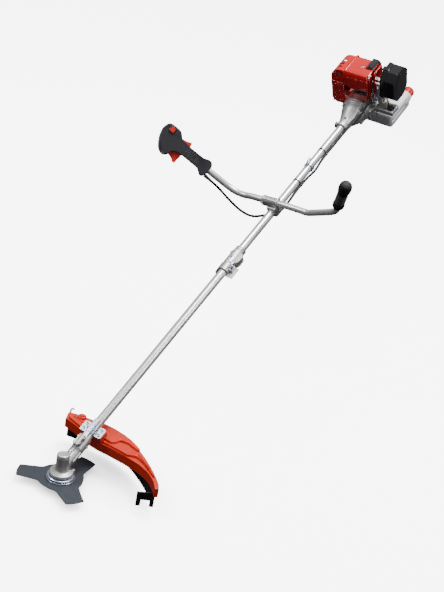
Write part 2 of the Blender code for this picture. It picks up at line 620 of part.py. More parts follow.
def make_harness_eye(shaft, finish):
    """Band around the tube with a standing eye for the harness hook."""
    grip = TUBE_RADIUS + GAP
    low = EYE_STATION - 0.007
    high = EYE_STATION + 0.007
    band = place("harness_clamp", sleeve(grip + 0.003, grip, low, high), finish["zinc_steel"], shaft,
                 turn=ALONG_SHAFT)
    unite(band, block((-0.016, low, -0.025), (-0.008, high, -0.011), 0.001))
    cut(band, rod(grip, low - 0.01, high + 0.01), turn=ALONG_SHAFT)
    cut(band, block((-0.013, low - 0.01, -0.03), (-0.011, high + 0.01, -0.009)))
    eye = place("harness_eye", sleeve(0.0105, 0.0065, -0.002, 0.002), finish["zinc_steel"], shaft,
                (0, EYE_STATION, EYE_HEIGHT), ACROSS)
    unite(eye, block((-0.004, EYE_STATION - 0.006, grip + 0.0033), (0.004, EYE_STATION + 0.006, 0.0230)))
    cut(eye, rod(0.0065, -0.01, 0.01), (0, EYE_STATION, EYE_HEIGHT), ACROSS)
    cut(eye, rod(grip + 0.0033, low - 0.01, high + 0.01), turn=ALONG_SHAFT)


# ---------------------------------------------------------------- engine

def make_clutch(shaft, finish):
    bore = TUBE_RADIUS + GAP
    bell = turned([(bore, BELL_START), (0.0195, BELL_START), (0.0210, 1.597), (0.0210, 1.612),
                   (0.0195, 1.614),
                   (0.0215, 1.620), (0.0430, 1.678), (0.0440, 1.688), (0.0490, 1.690), (0.0490, BELL_END),
                   (0.0410, BELL_END), (0.0410, 1.682), (0.0380, 1.676), (0.0345, 1.6665), (0.0170, 1.648),
                   (bore, 1.646)])
    housing = place("clutch_housing", bell, finish["cast_alloy"], shaft, turn=ALONG_SHAFT)
    unite(housing, block((-0.027, 1.598, -0.008), (-0.014, 1.611, 0.008), 0.0015))
    cut(housing, rod(bore, 1.58, 1.64), turn=ALONG_SHAFT)
    cut(housing, block((-0.005, 1.621, 0.010), (0.005, 1.630, 0.040)))

    drum = turned([(0, 1.6431), (0.0085, 1.6431), (0.0085, 1.668), (0.0330, 1.668), (0.0330, 1.692),
                   (0.0305, 1.692), (0.0305, 1.6705), (0, 1.6705)])
    place("clutch_drum", drum, finish["bare_steel"], shaft, turn=ALONG_SHAFT)
    rotor = place("clutch_rotor", sleeve(0.0285, 0.0067, 1.673, 1.690), finish["bare_steel"], shaft,
                  turn=ALONG_SHAFT)
    cut(rotor, merged(block((0.010, 1.66, -0.0015), (0.05, 1.70, 0.0015)),
                      block((-0.05, 1.66, -0.0015), (-0.010, 1.70, 0.0015))))


def make_crank(shaft, finish):
    """Crankcase with the fan shroud on its front, crankshaft, flywheel, cylinder and piston."""
    shroud = turned([(0.050, BELL_END + GAP), (0.050, 1.7335), (0.0075, 1.7335), (0.0075, 1.731),
                     (0.0462, 1.731),
                     (0.0462, BELL_END + GAP)])
    case = place("crankcase", shroud, finish["cast_alloy"], shaft, turn=ALONG_SHAFT)
    unite(case, block((-0.040, 1.732, -0.042), (0.040, 1.797, 0.0475), 0.004))
    cut(case, rod(0.030, 1.742, 1.788), turn=ALONG_SHAFT)
    cut(case, rod(0.0075, 1.72, 1.81), turn=ALONG_SHAFT)
    cut(case, rod(BORE_RADIUS + 0.0005, 0.0, 0.06), at=(0, CRANK_STATION, 0))

    crank = place("crankshaft", rod(0.0045, 1.749, 1.771, 12), finish["bare_steel"], shaft,
                  (0, 0, HALF_STROKE),
                  ALONG_SHAFT)
    unite(crank, turned([(0, 1.673), (0.006, 1.673), (0.006, 1.7455), (0.026, 1.7455), (0.026, 1.7525),
                         (0, 1.7525)]), turn=ALONG_SHAFT)
    unite(crank, turned([(0, 1.7675), (0.026, 1.7675), (0.026, 1.7745), (0.006, 1.7745), (0.006, 1.812),
                         (0, 1.812)]), turn=ALONG_SHAFT)

    flywheel = place("flywheel", toothed_cone(12, (0.044, 1.706), (0.044, 1.727), 0.25),
                     finish["cast_alloy"],
                     shaft, turn=ALONG_SHAFT)
    cut(flywheel, rod(0.0067, 1.69, 1.74, COARSE), turn=ALONG_SHAFT)

    fins = []
    for k in range(6):
        low = 0.060 + k * 0.0095
        fins += [(0.026, low), (0.037, low), (0.037, low + 0.002), (0.026, low + 0.002)]
    barrel = turned([(BORE_RADIUS + GAP, 0.048), (0.026, 0.048), *fins, (0.026, 0.118), (0.034, 0.118),
                     (0.034, 0.128), (0.0055, 0.128), (0.0055, 0.122), (BORE_RADIUS + GAP, 0.122)])
    cylinder = place("cylinder", barrel, finish["cast_alloy"], shaft, (0, CRANK_STATION, 0))
    cut(cylinder, rod(0.007, -0.06, 0.06, COARSE), (0, CRANK_STATION, 0.088), ACROSS)
    skirt = turned([(0, 0.105), (BORE_RADIUS - GAP, 0.105), (BORE_RADIUS - GAP, 0.070), (0.0165, 0.070),
                    (0.0165, 0.099), (0, 0.099)])
    place("piston", skirt, finish["cast_alloy"], shaft, (0, CRANK_STATION, 0))
    plug = turned([(0, 0.1205), (0.005, 0.1205), (0.005, 0.1283), (0.0095, 0.1283), (0.0095, 0.135),
                   (0.0050, 0.137), (0.0040, 0.150), (0, 0.150)], COARSE)
    place("spark_plug", plug, finish["ceramic_white"], shaft, (0, CRANK_STATION, 0))


def make_covers(shaft, finish):
    cover = place("engine_cover", block((-0.045, 1.700, COVER_LOW - 0.02), (0.046, 1.815, COVER_HIGH),
                                        0.006),
                  finish["gloss_red"], shaft)
    cut(cover, block((-0.0425, 1.7025, 0.01), (0.0435, 1.8125, COVER_HIGH - 0.0025), 0.0045))
    cut(cover, block((-0.06, 1.69, 0.02), (0.06, 1.83, COVER_LOW)))
    cut(cover, block((-0.06, 1.735, 0.065), (0.06, 1.785, 0.115)))
    corner = [(0.018, 0.1605), (0.0400, 0.1605), (0.0465, 0.1540), (0.0465, 0.115), (0.0495, 0.115),
              (0.0495, 0.157), (0.0425, 0.164), (0.018, 0.164)]
    outline = [(x, -u) for x, u in corner]
    place("plug_cover", prism(outline, 1.750, 1.806), finish["gloss_black"], shaft, turn=ALONG_SHAFT)

    box = place("muffler", block((-0.0935, 1.728, 0.045), (-0.0535, 1.792, 0.130), 0.006),
                finish["bare_steel"],
                shaft)
    unite(box, rod(0.0115, -0.058, -0.0376, COARSE), (0, CRANK_STATION, 0.088), ACROSS)
    cut(box, block((-0.0915, 1.730, 0.047), (-0.0555, 1.790, 0.128), 0.0045))
    cut(box, rod(0.006, 1.780, 1.80, COARSE), (-0.085, 0, 0.060), ALONG_SHAFT)
    curve = arc((-0.066, 0.111), 0.038, 90, 180, 7)
    outline = [(-0.0508, -0.002), (-0.0508, 0.149), *curve, (-0.104, 0.018), (-0.094, -0.002)]
    outline = [(x, -u) for x, u in outline]
    shell = place("muffler_cover", prism(outline, 1.716, 1.808), finish["gloss_red"], shaft,
                  turn=ALONG_SHAFT)
    curve = arc((-0.066, 0.111), 0.036, 90, 180, 7)
    room = [(-0.04, 0.0), (-0.04, 0.147), *curve, (-0.102, 0.019), (-0.0925, 0.0)]
    cut(shell, prism([(x, -u) for x, u in room], 1.718, 1.85), turn=ALONG_SHAFT)
    slots = [block((-0.095 + k * 0.004, 1.70, 0.086 + k * 0.016), (-0.060, 1.725, 0.092 + k * 0.016))
             for k in range(3)]
    cut(shell, merged(*slots))


def filter_outline(shrink):
    """The air filter's octagon, seen along X, taken in on all sides by a share of its wall."""
    station, height = FILTER_CENTRE
    half_depth = 0.050 - shrink
    half_height = 0.060 - shrink
    corner = 0.025
    quarter = [(half_depth - corner, half_height), (half_depth, half_height - corner)]
    points = [(a, b) for a, b in quarter]
    points += [(a, -b) for a, b in reversed(quarter)]
    points += [(-a, -b) for a, b in quarter]
    points += [(-a, b) for a, b in reversed(quarter)]
    return [(-(height + b), station + a) for a, b in points]


def make_intake(shaft, finish):
    """Carburettor with its choke lever and purge bulb, and the air filter that covers it."""
    body = place("carburettor", block((0.047, 1.744, 0.064), (0.0835, 1.780, 0.112), 0.003),
                 finish["cast_alloy"],
                 shaft)
    unite(body, rod(0.0115, 0.0376, 0.050, COARSE), (0, CRANK_STATION, 0.088), ACROSS)
    unite(body, block((0.068, 1.748, 0.015), (0.082, 1.770, 0.070)))
    unite(body, block((0.066, 1.720, 0.006), (0.138, 1.768, 0.024), 0.002))
    cut(body, rod(0.0135, 0.0165, 0.03), (0.122, 1.738, 0))
    cut(body, rod(0.007, 0.02, 0.10, COARSE), (0, CRANK_STATION, 0.088), ACROSS)
    lever = place("choke_lever", rod(0.004, -0.0034, 0, 12), finish["zinc_steel"], shaft,
                  (0.058, 1.7437, 0.075),
                  ALONG_SHAFT)
    lever_bar = block((0.0545, 1.7411, 0.036), (0.0615, 1.7435, 0.074))
    unite(lever, lever_bar)
    dome = turned([(0, 0.0360), (0.0060, 0.0350), (0.0100, 0.0310), (0.0125, 0.0270), (0.0125, 0.0243),
                   (0, 0.0243)])
    place("primer_bulb", dome, finish["black_rubber"], shaft, (0.122, 1.738, 0))

    base = place("air_filter_base", prism(filter_outline(0.001), 0.0842, 0.0868), finish["black_plastic"],
                 shaft,
                 turn=ACROSS)
    cut(base, rod(0.009, 0.05, 0.12, COARSE), (0, CRANK_STATION, 0.088), ACROSS)
    cover = place("air_filter_cover", prism(filter_outline(0), 0.0871, 0.1400), finish["gloss_black"],
                  shaft, turn=ACROSS)
    cut(cover, prism(filter_outline(0.0025), 0.08, 0.1375), turn=ACROSS)
    place("air_filter_element", prism(filter_outline(0.006), 0.0875, 0.115), finish["foam"], shaft,
          turn=ACROSS)


def make_starter(shaft, finish):
    """Recoil starter on the back of the crankcase: housing, rope pulley on a post, and pull handle."""
    housing = turned([(0.0500, 1.7985), (0.0500, 1.838), (0.0440, 1.846), (0, 1.846), (0, 1.818),
                      (0.0050, 1.818),
                      (0.0050, 1.8435), (0.0425, 1.8435), (0.0470, 1.837), (0.0470, 1.7985)])
    shell = place("starter_housing", housing, finish["black_plastic"], shaft, turn=ALONG_SHAFT)
    cut(shell, rod(0.0035, 0.03, 0.06, 12), (0.0275, 1.829, 0))
    pulley = turned([(0.0053, 1.820), (0.0300, 1.820), (0.0300, 1.825), (0.0270, 1.827), (0.0270, 1.831),
                     (0.0300, 1.833), (0.0300, 1.838), (0.0053, 1.838)])
    place("starter_pulley", pulley, finish["black_plastic"], shaft, turn=ALONG_SHAFT)
    grip = place("starter_handle", rod(0.0030, 0.0425, 0.054, 12), finish["black_plastic"], shaft,
                 (0.0275, 1.829, 0))
    unite(grip, block((0.0055, 1.8215, 0.0520), (0.0495, 1.8365, 0.0640), 0.003))


def make_tank(shaft, finish):
    tank = place("fuel_tank", block((-0.108, 1.780, -0.115), (0.094, 1.928, -0.052), 0.012),
                 finish["tank_plastic"], shaft)
    neck = (0.080, 0, -0.078)
    unite(tank, rod(0.0225, 1.885, 1.932), neck, ALONG_SHAFT)
    cut(tank, block((-0.106, 1.782, -0.113), (0.092, 1.926, -0.054), 0.012))
    cut(tank, rod(0.0140, 1.90, 1.95), neck, ALONG_SHAFT)
    cap = turned([(0, 1.9655), (0.0180, 1.9655), (0.0215, 1.962), (0.0215, 1.9325), (0.0125, 1.9325),
                  (0.0125, 1.925), (0, 1.925)], COARSE)
    place("fuel_cap", cap, finish["gloss_red"], shaft, neck, ALONG_SHAFT)


def main():
    for leftover in list(bpy.data.objects):
        bpy.data.objects.remove(leftover)
    finish = make_materials()
    rise = Matrix.Rotation(SHAFT_RISE, 3, "X")
    gear_centre = -(rise @ Vector((0, EYE_STATION, EYE_HEIGHT)))
    shaft = frame_at("shaft_frame", None, gear_centre, (SHAFT_RISE, 0, 0))
    upright = frame_at("blade_frame", None, gear_centre)
    bar = frame_at("bar_frame", shaft, (0, BAR_STATION, 0), (0, -BAR_ROLL, 0))
    make_tubes(shaft, finish)
    make_coupler(shaft, finish)
    make_gear_head(shaft, upright, finish)
    make_guard(shaft, upright, finish)
    make_handlebar(bar, finish)
    make_control_handle(bar, finish)
    make_cable(shaft, finish)
    make_harness_eye(shaft, finish)
    make_clutch(shaft, finish)
    make_crank(shaft, finish)
    make_covers(shaft, finish)
    make_intake(shaft, finish)
    make_starter(shaft, finish)
    make_tank(shaft, finish)


main()
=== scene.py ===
"""Looks of the brush cutter: smooth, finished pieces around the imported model, and the studio they stand in.

Three sets of axes carry the pieces. SHAFT: X across, Y along the shaft towards the engine, Z square to it.
BLADE: the same origin, upright. BAR and HANDLE: the handlebar's clamp and the control handle's socket.
"""

import json
import math

import bmesh
import bpy
from mathutils import Matrix, Vector


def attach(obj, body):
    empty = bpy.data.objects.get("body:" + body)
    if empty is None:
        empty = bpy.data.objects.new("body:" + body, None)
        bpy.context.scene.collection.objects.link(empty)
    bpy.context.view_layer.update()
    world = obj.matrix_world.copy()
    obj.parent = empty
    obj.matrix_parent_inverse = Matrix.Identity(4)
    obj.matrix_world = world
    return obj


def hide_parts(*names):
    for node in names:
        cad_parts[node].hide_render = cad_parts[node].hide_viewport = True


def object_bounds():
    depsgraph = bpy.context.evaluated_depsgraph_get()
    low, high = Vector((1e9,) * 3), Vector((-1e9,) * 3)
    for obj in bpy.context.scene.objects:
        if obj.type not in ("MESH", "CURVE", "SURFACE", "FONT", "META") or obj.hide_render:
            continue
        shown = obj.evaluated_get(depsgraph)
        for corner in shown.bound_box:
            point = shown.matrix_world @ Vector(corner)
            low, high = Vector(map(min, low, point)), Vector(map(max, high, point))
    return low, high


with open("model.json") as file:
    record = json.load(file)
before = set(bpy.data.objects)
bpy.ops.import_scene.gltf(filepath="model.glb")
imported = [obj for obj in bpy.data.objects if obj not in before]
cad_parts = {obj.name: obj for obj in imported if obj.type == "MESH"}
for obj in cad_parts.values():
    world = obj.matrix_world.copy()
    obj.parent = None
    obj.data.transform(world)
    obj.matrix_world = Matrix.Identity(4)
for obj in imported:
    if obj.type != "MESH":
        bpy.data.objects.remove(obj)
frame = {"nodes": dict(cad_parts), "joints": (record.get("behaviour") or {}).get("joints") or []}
cad_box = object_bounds()

# ---------------------------------------------------------------- axes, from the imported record

JOINTS = {joint["name"]: joint for joint in frame["joints"]}


def axes(origin, across, along):
    across = Vector(across).normalized()
    along = (Vector(along) - across * across.dot(Vector(along))).normalized()
    turn = Matrix((across, along, across.cross(along))).transposed()
    return Matrix.Translation(origin) @ turn.to_4x4()


GEAR_CENTRE = Vector(JOINTS["blade_spin"]["pos_m"])
SHAFT = axes(GEAR_CENTRE, (1, 0, 0), JOINTS["drive_spin"]["axis"])
BLADE = Matrix.Translation(GEAR_CENTRE)
BAR_STATION = 1.149
BAR_ROLL = math.radians(7.5)
BAR = SHAFT @ Matrix.Translation((0, BAR_STATION, 0)) @ Matrix.Rotation(-BAR_ROLL, 4, "Y")
HANDLE_BASE = Vector((-0.2371, -0.011, 0.1111))
HANDLE_AXIS = Vector((-0.791, 0.014, 0.6115)).normalized()
HANDLE_PALM = Vector((0.3055, 0.875, 0.376))
HANDLE = BAR @ axes(HANDLE_BASE, HANDLE_AXIS, HANDLE_PALM)

ALONG = Matrix.Rotation(-math.pi / 2, 4, "X")
ACROSS = Matrix.Rotation(math.pi / 2, 4, "Y")


def reach(node, carrier=SHAFT):
    """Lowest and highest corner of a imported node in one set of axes."""
    inverse = carrier.inverted()
    points = [inverse @ vertex.co for vertex in frame["nodes"][node].data.vertices]
    low = Vector([min(p[i] for p in points) for i in range(3)])
    high = Vector([max(p[i] for p in points) for i in range(3)])
    return low, high


# ---------------------------------------------------------------- nodes

class Wire:
    """A socket whose arithmetic adds Math nodes to its tree."""

    def __init__(self, net, socket):
        self.net = net
        self.socket = socket

    def _math(self, operation, first, second):
        return self.net.add("ShaderNodeMath", {"operation": operation}, {0: first, 1: second})

    def __add__(self, other):
        return self._math("ADD", self, other)

    def __sub__(self, other):
        return self._math("SUBTRACT", self, other)

    def __rsub__(self, other):
        return self._math("SUBTRACT", other, self)

    def __mul__(self, other):
        return self._math("MULTIPLY", self, other)

    def __truediv__(self, other):
        return self._math("DIVIDE", self, other)

    def __pow__(self, other):
        return self._math("POWER", self, other)

    def __mod__(self, other):
        return self._math("MODULO", self, other)

    def __gt__(self, other):
        return self._math("GREATER_THAN", self, other)

    __radd__ = __add__
    __rmul__ = __mul__


class Net:
    """Adds nodes to a tree: a type, then its settings, then the values or links of its sockets."""

    def __init__(self, tree):
        self.tree = tree

    def add(self, kind, settings=None, sockets=None, out=0):
        node = self.tree.nodes.new(kind)
        for key, value in (settings or {}).items():
            if key == "stops":
                self.fill_ramp(node.color_ramp, value)
            else:
                setattr(node, key, value)
        for key, value in (sockets or {}).items():
            socket = self.find(node.inputs, key)
            if isinstance(value, Wire):
                self.tree.links.new(value.socket, socket)
            else:
                socket.default_value = value
        return Wire(self, self.find(node.outputs, out)) if node.outputs else node

    def mix(self, factor, first, second):
        sockets = {"Factor_Float": factor, "A_Color": first, "B_Color": second}
        return self.add("ShaderNodeMix", {"data_type": "RGBA"}, sockets, "Result_Color")

    @staticmethod
    def find(sockets, key):
        if isinstance(key, int):
            return sockets[key]
        matches = [s for s in sockets if s.identifier == key]
        return matches[0] if matches else sockets[key]

    @staticmethod
    def fill_ramp(ramp, stops):
        while len(ramp.elements) < len(stops):
            ramp.elements.new(1.0)
        for element, (place, shade) in zip(ramp.elements, stops):
            element.position = place
            element.color = (shade, shade, shade, 1.0)


# ---------------------------------------------------------------- finishes

class Finish:
    """One material, with helpers for the patterns that the finishes share."""

    def __init__(self, name, **constants):
        self.material = bpy.data.materials.new(name)
        self.material.use_nodes = True
        self.net = Net(self.material.node_tree)
        self.shader = self.material.node_tree.nodes["Principled BSDF"]
        self.place = self.net.add("ShaderNodeTexCoord", out="Object")
        for key, value in constants.items():
            self.shader.inputs[key.replace("_", " ")].default_value = value

    def feed(self, socket, value):
        if isinstance(value, Wire):
            self.net.tree.links.new(value.socket, self.shader.inputs[socket])
        else:
            self.shader.inputs[socket].default_value = value

    def turned_place(self, stretch=(1, 1, 1)):
        """Object coordinates in the shaft's axes, squeezed along each of them."""
        turn = SHAFT.to_euler()
        sockets = {"Vector": self.place, "Rotation": turn, "Scale": stretch}
        return self.net.add("ShaderNodeMapping", {"vector_type": "TEXTURE"}, sockets)

    def noise(self, scale, detail=3.0, place=None, roughness=0.5):
        sockets = {"Vector": place or self.place, "Scale": scale, "Detail": detail, "Roughness": roughness}
        return self.net.add("ShaderNodeTexNoise", {}, sockets)

    def cells(self, scale, feature="F1"):
        return self.net.add("ShaderNodeTexVoronoi", {"feature": feature},
                            {"Vector": self.place, "Scale": scale})

    def step(self, value, low, high):
        """Zero below low, one above high."""
        return self.net.add("ShaderNodeMapRange", {"interpolation_type": "SMOOTHSTEP"},
                            {"Value": value, "From Min": low, "From Max": high})

    def bump(self, height, strength, distance, below=None):
        sockets = {"Height": height, "Strength": strength, "Distance": distance}
        if below:
            sockets["Normal"] = below
        return self.net.add("ShaderNodeBump", {}, sockets)

    def tint(self, factor, first, second):
        return self.net.mix(factor, (*first, 1.0), (*second, 1.0))


def shaded(colour, factor):
    return tuple(min(1.0, channel * factor) for channel in colour)


def moulded_plastic(name, colour, roughness, grain, coat=0.0, depth=0.00004, dust=0.06):
    """Injection-moulded plastic: a fine spark-eroded grain, slow changes of tone and a little dust in patches."""
    made = Finish(name, Coat_Weight=coat, Coat_Roughness=0.05, Specular_IOR_Level=0.5)
    cloud = made.noise(14.0, 3.0)
    speck = made.noise(900.0, 2.0)
    tone = made.tint(cloud, shaded(colour, 0.86), shaded(colour, 1.12))
    dusty = made.step(made.noise(38.0, 5.0), 0.56, 0.80) * dust
    dust_colour = tuple(channel * 0.7 + 0.16 for channel in colour)
    made.feed("Base Color", made.net.mix(dusty, tone, (*dust_colour, 1.0)))
    made.feed("Roughness", roughness + (cloud - 0.5) * 0.10 + (speck - 0.5) * 0.10)
    waves = made.bump(made.noise(30.0, 1.0), 0.25, 0.0004)
    made.feed("Normal", made.bump(made.cells(grain, "SMOOTH_F1"), 0.5, depth, waves))
    return made.material


def cast_metal(name, colour, roughness=0.45, metallic=0.85):
    """Die-cast light alloy: pebbled skin, darker in patches, with a few bright rubbed spots."""
    made = Finish(name)
    patch = made.noise(22.0, 5.0)
    pebble = made.cells(520.0, "SMOOTH_F1")
    rubbed = made.step(made.noise(75.0, 6.0), 0.60, 0.74)
    tone = made.tint(patch, shaded(colour, 0.80), shaded(colour, 1.12))
    made.feed("Base Color", made.net.mix(rubbed * 0.35, tone, (*shaded(colour, 1.3), 1.0)))
    made.feed("Roughness", roughness + (patch - 0.5) * 0.18 - rubbed * 0.10)
    made.feed("Metallic", metallic)
    made.feed("Normal", made.bump(pebble, 0.45, 0.00012, made.bump(patch, 0.2, 0.0006)))
    return made.material


def drawn_tube(name, colour, roughness=0.30, metallic=0.75):
    """Satin drawn tube: hair lines along the shaft, faint handling marks."""
    made = Finish(name)
    lines = made.noise(700.0, 3.0, made.turned_place((1.0, 60.0, 1.0)))
    marks = made.step(made.noise(16.0, 6.0), 0.60, 0.85)
    tone = made.tint(lines, shaded(colour, 0.93), shaded(colour, 1.05))
    made.feed("Base Color", made.net.mix(marks * 0.18, tone, (*shaded(colour, 0.78), 1.0)))
    made.feed("Roughness", roughness + (lines - 0.5) * 0.14 + marks * 0.10)
    made.feed("Metallic", metallic)
    made.feed("Normal", made.bump(lines, 0.12, 0.00005))
    return made.material


def plated_steel(name, colour, roughness=0.26, metallic=0.95, spangle=140.0):
    """Bright zinc plate: crystal-like patches of slightly different tone and blue cast."""
    made = Finish(name)
    crystal = made.cells(spangle)
    soft = made.noise(60.0, 4.0)
    blue = (colour[0] * 0.80, colour[1] * 0.92, min(1.0, colour[2] * 1.12))
    made.feed("Base Color", made.tint(soft * 0.7 + crystal * 0.6, shaded(colour, 1.08), blue))
    made.feed("Roughness", roughness + (soft - 0.5) * 0.22)
    made.feed("Metallic", metallic)
    made.feed("Normal", made.bump(made.noise(260.0, 3.0), 0.15, 0.0001))
    return made.material


def turned_steel(name, colour, roughness=0.28):
    """Machined steel: close tool marks and a trace of oil."""
    made = Finish(name)
    oil = made.noise(55.0, 4.0)
    marks = made.noise(1500.0, 2.0)
    made.feed("Base Color", made.tint(oil, shaded(colour, 0.72), shaded(colour, 1.15)))
    made.feed("Roughness", roughness + (marks - 0.5) * 0.16)
    made.feed("Metallic", 1.0)
    made.feed("Normal", made.bump(marks, 0.2, 0.00004))
    return made.material


def coated_blade(name, colour):
    """Slate-grey coat on rolled steel: fine speckle and a few long scratches down to brighter metal."""
    made = Finish(name)
    speckle = made.noise(1100.0, 2.0)
    patch = made.noise(18.0, 4.0)
    streak = made.noise(120.0, 4.0, made.turned_place((14.0, 1.0, 1.0)))
    scratch = made.step(streak, 0.66, 0.72) * made.step(patch, 0.45, 0.65)
    tone = made.tint(patch * 0.6 + speckle * 0.4, shaded(colour, 0.82), shaded(colour, 1.2))
    made.feed("Base Color", made.net.mix(scratch * 0.5, tone, (0.34, 0.35, 0.37, 1.0)))
    made.feed("Roughness", 0.42 + (speckle - 0.5) * 0.14 - scratch * 0.12)
    made.feed("Metallic", 0.35 + scratch * 0.5)
    made.feed("Normal", made.bump(speckle, 0.25, 0.00004))
    return made.material


def glossy_shell(name, colour, roughness=0.20, coat=1.0):
    """High-gloss moulding: a clear coat over colour, faint orange peel and fine dust."""
    made = Finish(name, Coat_Weight=coat, Coat_Roughness=0.04)
    cloud = made.noise(10.0, 3.0)
    fine = made.noise(480.0, 4.0)
    dust = made.step(fine, 0.62, 0.78) * made.step(made.noise(24.0, 4.0), 0.45, 0.75)
    tone = made.tint(cloud, shaded(colour, 0.85), shaded(colour, 1.12))
    pale = tuple(channel * 0.6 + 0.25 for channel in colour)
    made.feed("Base Color", made.net.mix(dust * 0.04, tone, (*pale, 1.0)))
    made.feed("Roughness", roughness + dust * 0.2)
    made.feed("Normal", made.bump(made.noise(85.0, 1.0), 0.10, 0.0004))
    return made.material


def black_rubber(name, colour, roughness=0.68):
    """Rubber with a matt bloom, paler where it is thumbed."""
    made = Finish(name, Specular_IOR_Level=0.35)
    bloom = made.noise(34.0, 5.0)
    pores = made.cells(900.0, "SMOOTH_F1")
    made.feed("Base Color", made.tint(bloom, shaded(colour, 0.7), shaded(colour, 1.6)))
    made.feed("Roughness", roughness + (bloom - 0.5) * 0.2)
    made.feed("Normal", made.bump(pores, 0.35, 0.00006))
    return made.material


def milky_tank(name, colour):
    """Natural polyethylene: milky, light passes through the walls, softly uneven from blow moulding."""
    made = Finish(name, Subsurface_Weight=0.35, Subsurface_Scale=0.02, IOR=1.5)
    made.shader.inputs["Subsurface Radius"].default_value = (1.0, 1.0, 1.1)
    cloud = made.noise(20.0, 3.0)
    fine = made.noise(420.0, 3.0)
    made.feed("Base Color", made.tint(cloud, shaded(colour, 0.92), shaded(colour, 1.05)))
    made.feed("Roughness", 0.34 + (fine - 0.5) * 0.16)
    made.feed("Normal", made.bump(fine, 0.12, 0.00008, made.bump(cloud, 0.3, 0.0008)))
    return made.material


def open_foam(name, colour):
    made = Finish(name, Roughness=0.95)
    pores = made.cells(700.0)
    made.feed("Base Color", made.tint(pores, shaded(colour, 0.3), shaded(colour, 1.6)))
    made.feed("Normal", made.bump(pores, 1.0, 0.0006))
    return made.material


FINISHES = {
    "silver_tube": drawn_tube("silver_tube", (0.84, 0.85, 0.87)),
    "cast_alloy": cast_metal("cast_alloy", (0.66, 0.66, 0.65)),
    "zinc_steel": plated_steel("zinc_steel", (0.72, 0.74, 0.77)),
    "bare_steel": turned_steel("bare_steel", (0.45, 0.45, 0.46)),
    "blade_steel": coated_blade("blade_steel", (0.050, 0.057, 0.072)),
    "guard_red": moulded_plastic("guard_red", (0.66, 0.035, 0.014), 0.34, 700.0),
    "gloss_red": glossy_shell("gloss_red", (0.56, 0.005, 0.006)),
    "trigger_red": moulded_plastic("trigger_red", (0.62, 0.018, 0.012), 0.30, 800.0),
    "black_plastic": moulded_plastic("black_plastic", (0.012, 0.012, 0.014), 0.42, 700.0),
    "gloss_black": glossy_shell("gloss_black", (0.004, 0.004, 0.006), 0.12),
    "handle_black": moulded_plastic("handle_black", (0.020, 0.019, 0.026), 0.46, 650.0),
    "black_rubber": black_rubber("black_rubber", (0.016, 0.016, 0.017)),
    "tank_plastic": milky_tank("tank_plastic", (0.78, 0.78, 0.81)),
    "foam": open_foam("foam", (0.05, 0.05, 0.05)),
    "ceramic_white": glossy_shell("ceramic_white", (0.82, 0.82, 0.79), 0.18, 0.5),
    "brass": turned_steel("brass", (0.72, 0.50, 0.18), 0.30),
    # Pale grey of the painted highlight strip on the control handle's head
    "trim_grey": moulded_plastic("trim_grey", (0.16, 0.16, 0.17), 0.35, 800.0),
    "grip_grey": black_rubber("grip_grey", (0.075, 0.072, 0.070), 0.62),
}


# ---------------------------------------------------------------- outlines

def rounded(outline, radius, steps=4, closed=True):
    """An outline with its corners rounded; radius is one number or one for each corner."""
    points = [Vector(p) for p in outline]
    radii = radius if isinstance(radius, (list, tuple)) else [radius] * len(points)
    found = []
    for i, corner in enumerate(points):
        end = not closed and i in (0, len(points) - 1)
        if end or not radii[i]:
            found.append(corner)
            continue
        back = points[i - 1] - corner
        ahead = points[(i + 1) % len(points)] - corner
        cut = min(radii[i], 0.49 * back.length, 0.49 * ahead.length)
        first = corner + back.normalized() * cut
        last = corner + ahead.normalized() * cut
        for k in range(steps + 1):
            t = k / steps
            found.append(first * (1 - t) ** 2 + corner * 2 * t * (1 - t) + last * t**2)
    return found


def arc(centre, radius, start, end, count):
    """Points on an arc, in the plane, from one angle in degrees to another."""
    angles = [math.radians(start + (end - start) * i / (count - 1)) for i in range(count)]
    return [Vector((centre[0] + radius * math.cos(a), centre[1] + radius * math.sin(a))) for a in angles]


def inset(outline, wall):
    """A closed outline moved inwards by a wall's thickness."""
    points = [Vector(p) for p in outline]
    area = sum(a.x * b.y - b.x * a.y for a, b in zip(points, points[1:] + points[:1]))
    side = wall if area > 0 else -wall
    moved = []
    for before, here, after in zip(points[-1:] + points[:-1], points, points[1:] + points[:1]):
        first = (here - before).normalized()
        second = (after - here).normalized()
        normal = Vector((-first.y - second.y, first.x + second.x)).normalized()
        moved.append(here + normal * side / max(0.35, normal.dot(Vector((-first.y, first.x)))))
    return moved


def smooth_path(points, steps):
    """Points on a smooth curve through the given ones, steps for each span."""
    points = [Vector(p) for p in points]
    ends = [2 * points[0] - points[1], *points, 2 * points[-1] - points[-2]]
    path = []
    for a, b, c, d in zip(ends, ends[1:], ends[2:], ends[3:]):
        for k in range(steps):
            t = k / steps
            path.append(0.5 * (2 * b + (c - a) * t + (2 * a - 5 * b + 4 * c - d) * t**2
                               + (3 * b - a - 3 * c + d) * t**3))
    return [*path, points[-1]]


# ---------------------------------------------------------------- meshes

def bridge(mesh, first, second):
    """Faces between two rings of points; a ring of one point is a pole."""
    count = max(len(first), len(second))
    for i in range(count):
        j = (i + 1) % count
        if len(first) == 1:
            corners = (first[0], second[j], second[i])
        elif len(second) == 1:
            corners = (first[i], first[j], second[0])
        else:
            corners = (first[i], first[j], second[j], second[i])
        mesh.faces.new(corners)


def lathe(profile, sides=72, soft=0.0):
    """A solid turned about local Z from a closed outline of (radius, height) points; radius 0 is on the axis."""
    if soft:
        radii = [soft if radius > 0 else 0 for radius, _ in profile]
        profile = rounded(profile, radii, 3)
    mesh = bmesh.new()
    rings = []
    for radius, height in profile:
        count = sides if radius > 1e-7 else 1
        angles = [2 * math.pi * i / sides for i in range(count)]
        rings.append([mesh.verts.new((radius * math.cos(a), radius * math.sin(a), height)) for a in angles])
    for first, second in zip(rings, rings[1:] + rings[:1]):
        if len(first) > 1 or len(second) > 1:
            bridge(mesh, first, second)
    return mesh


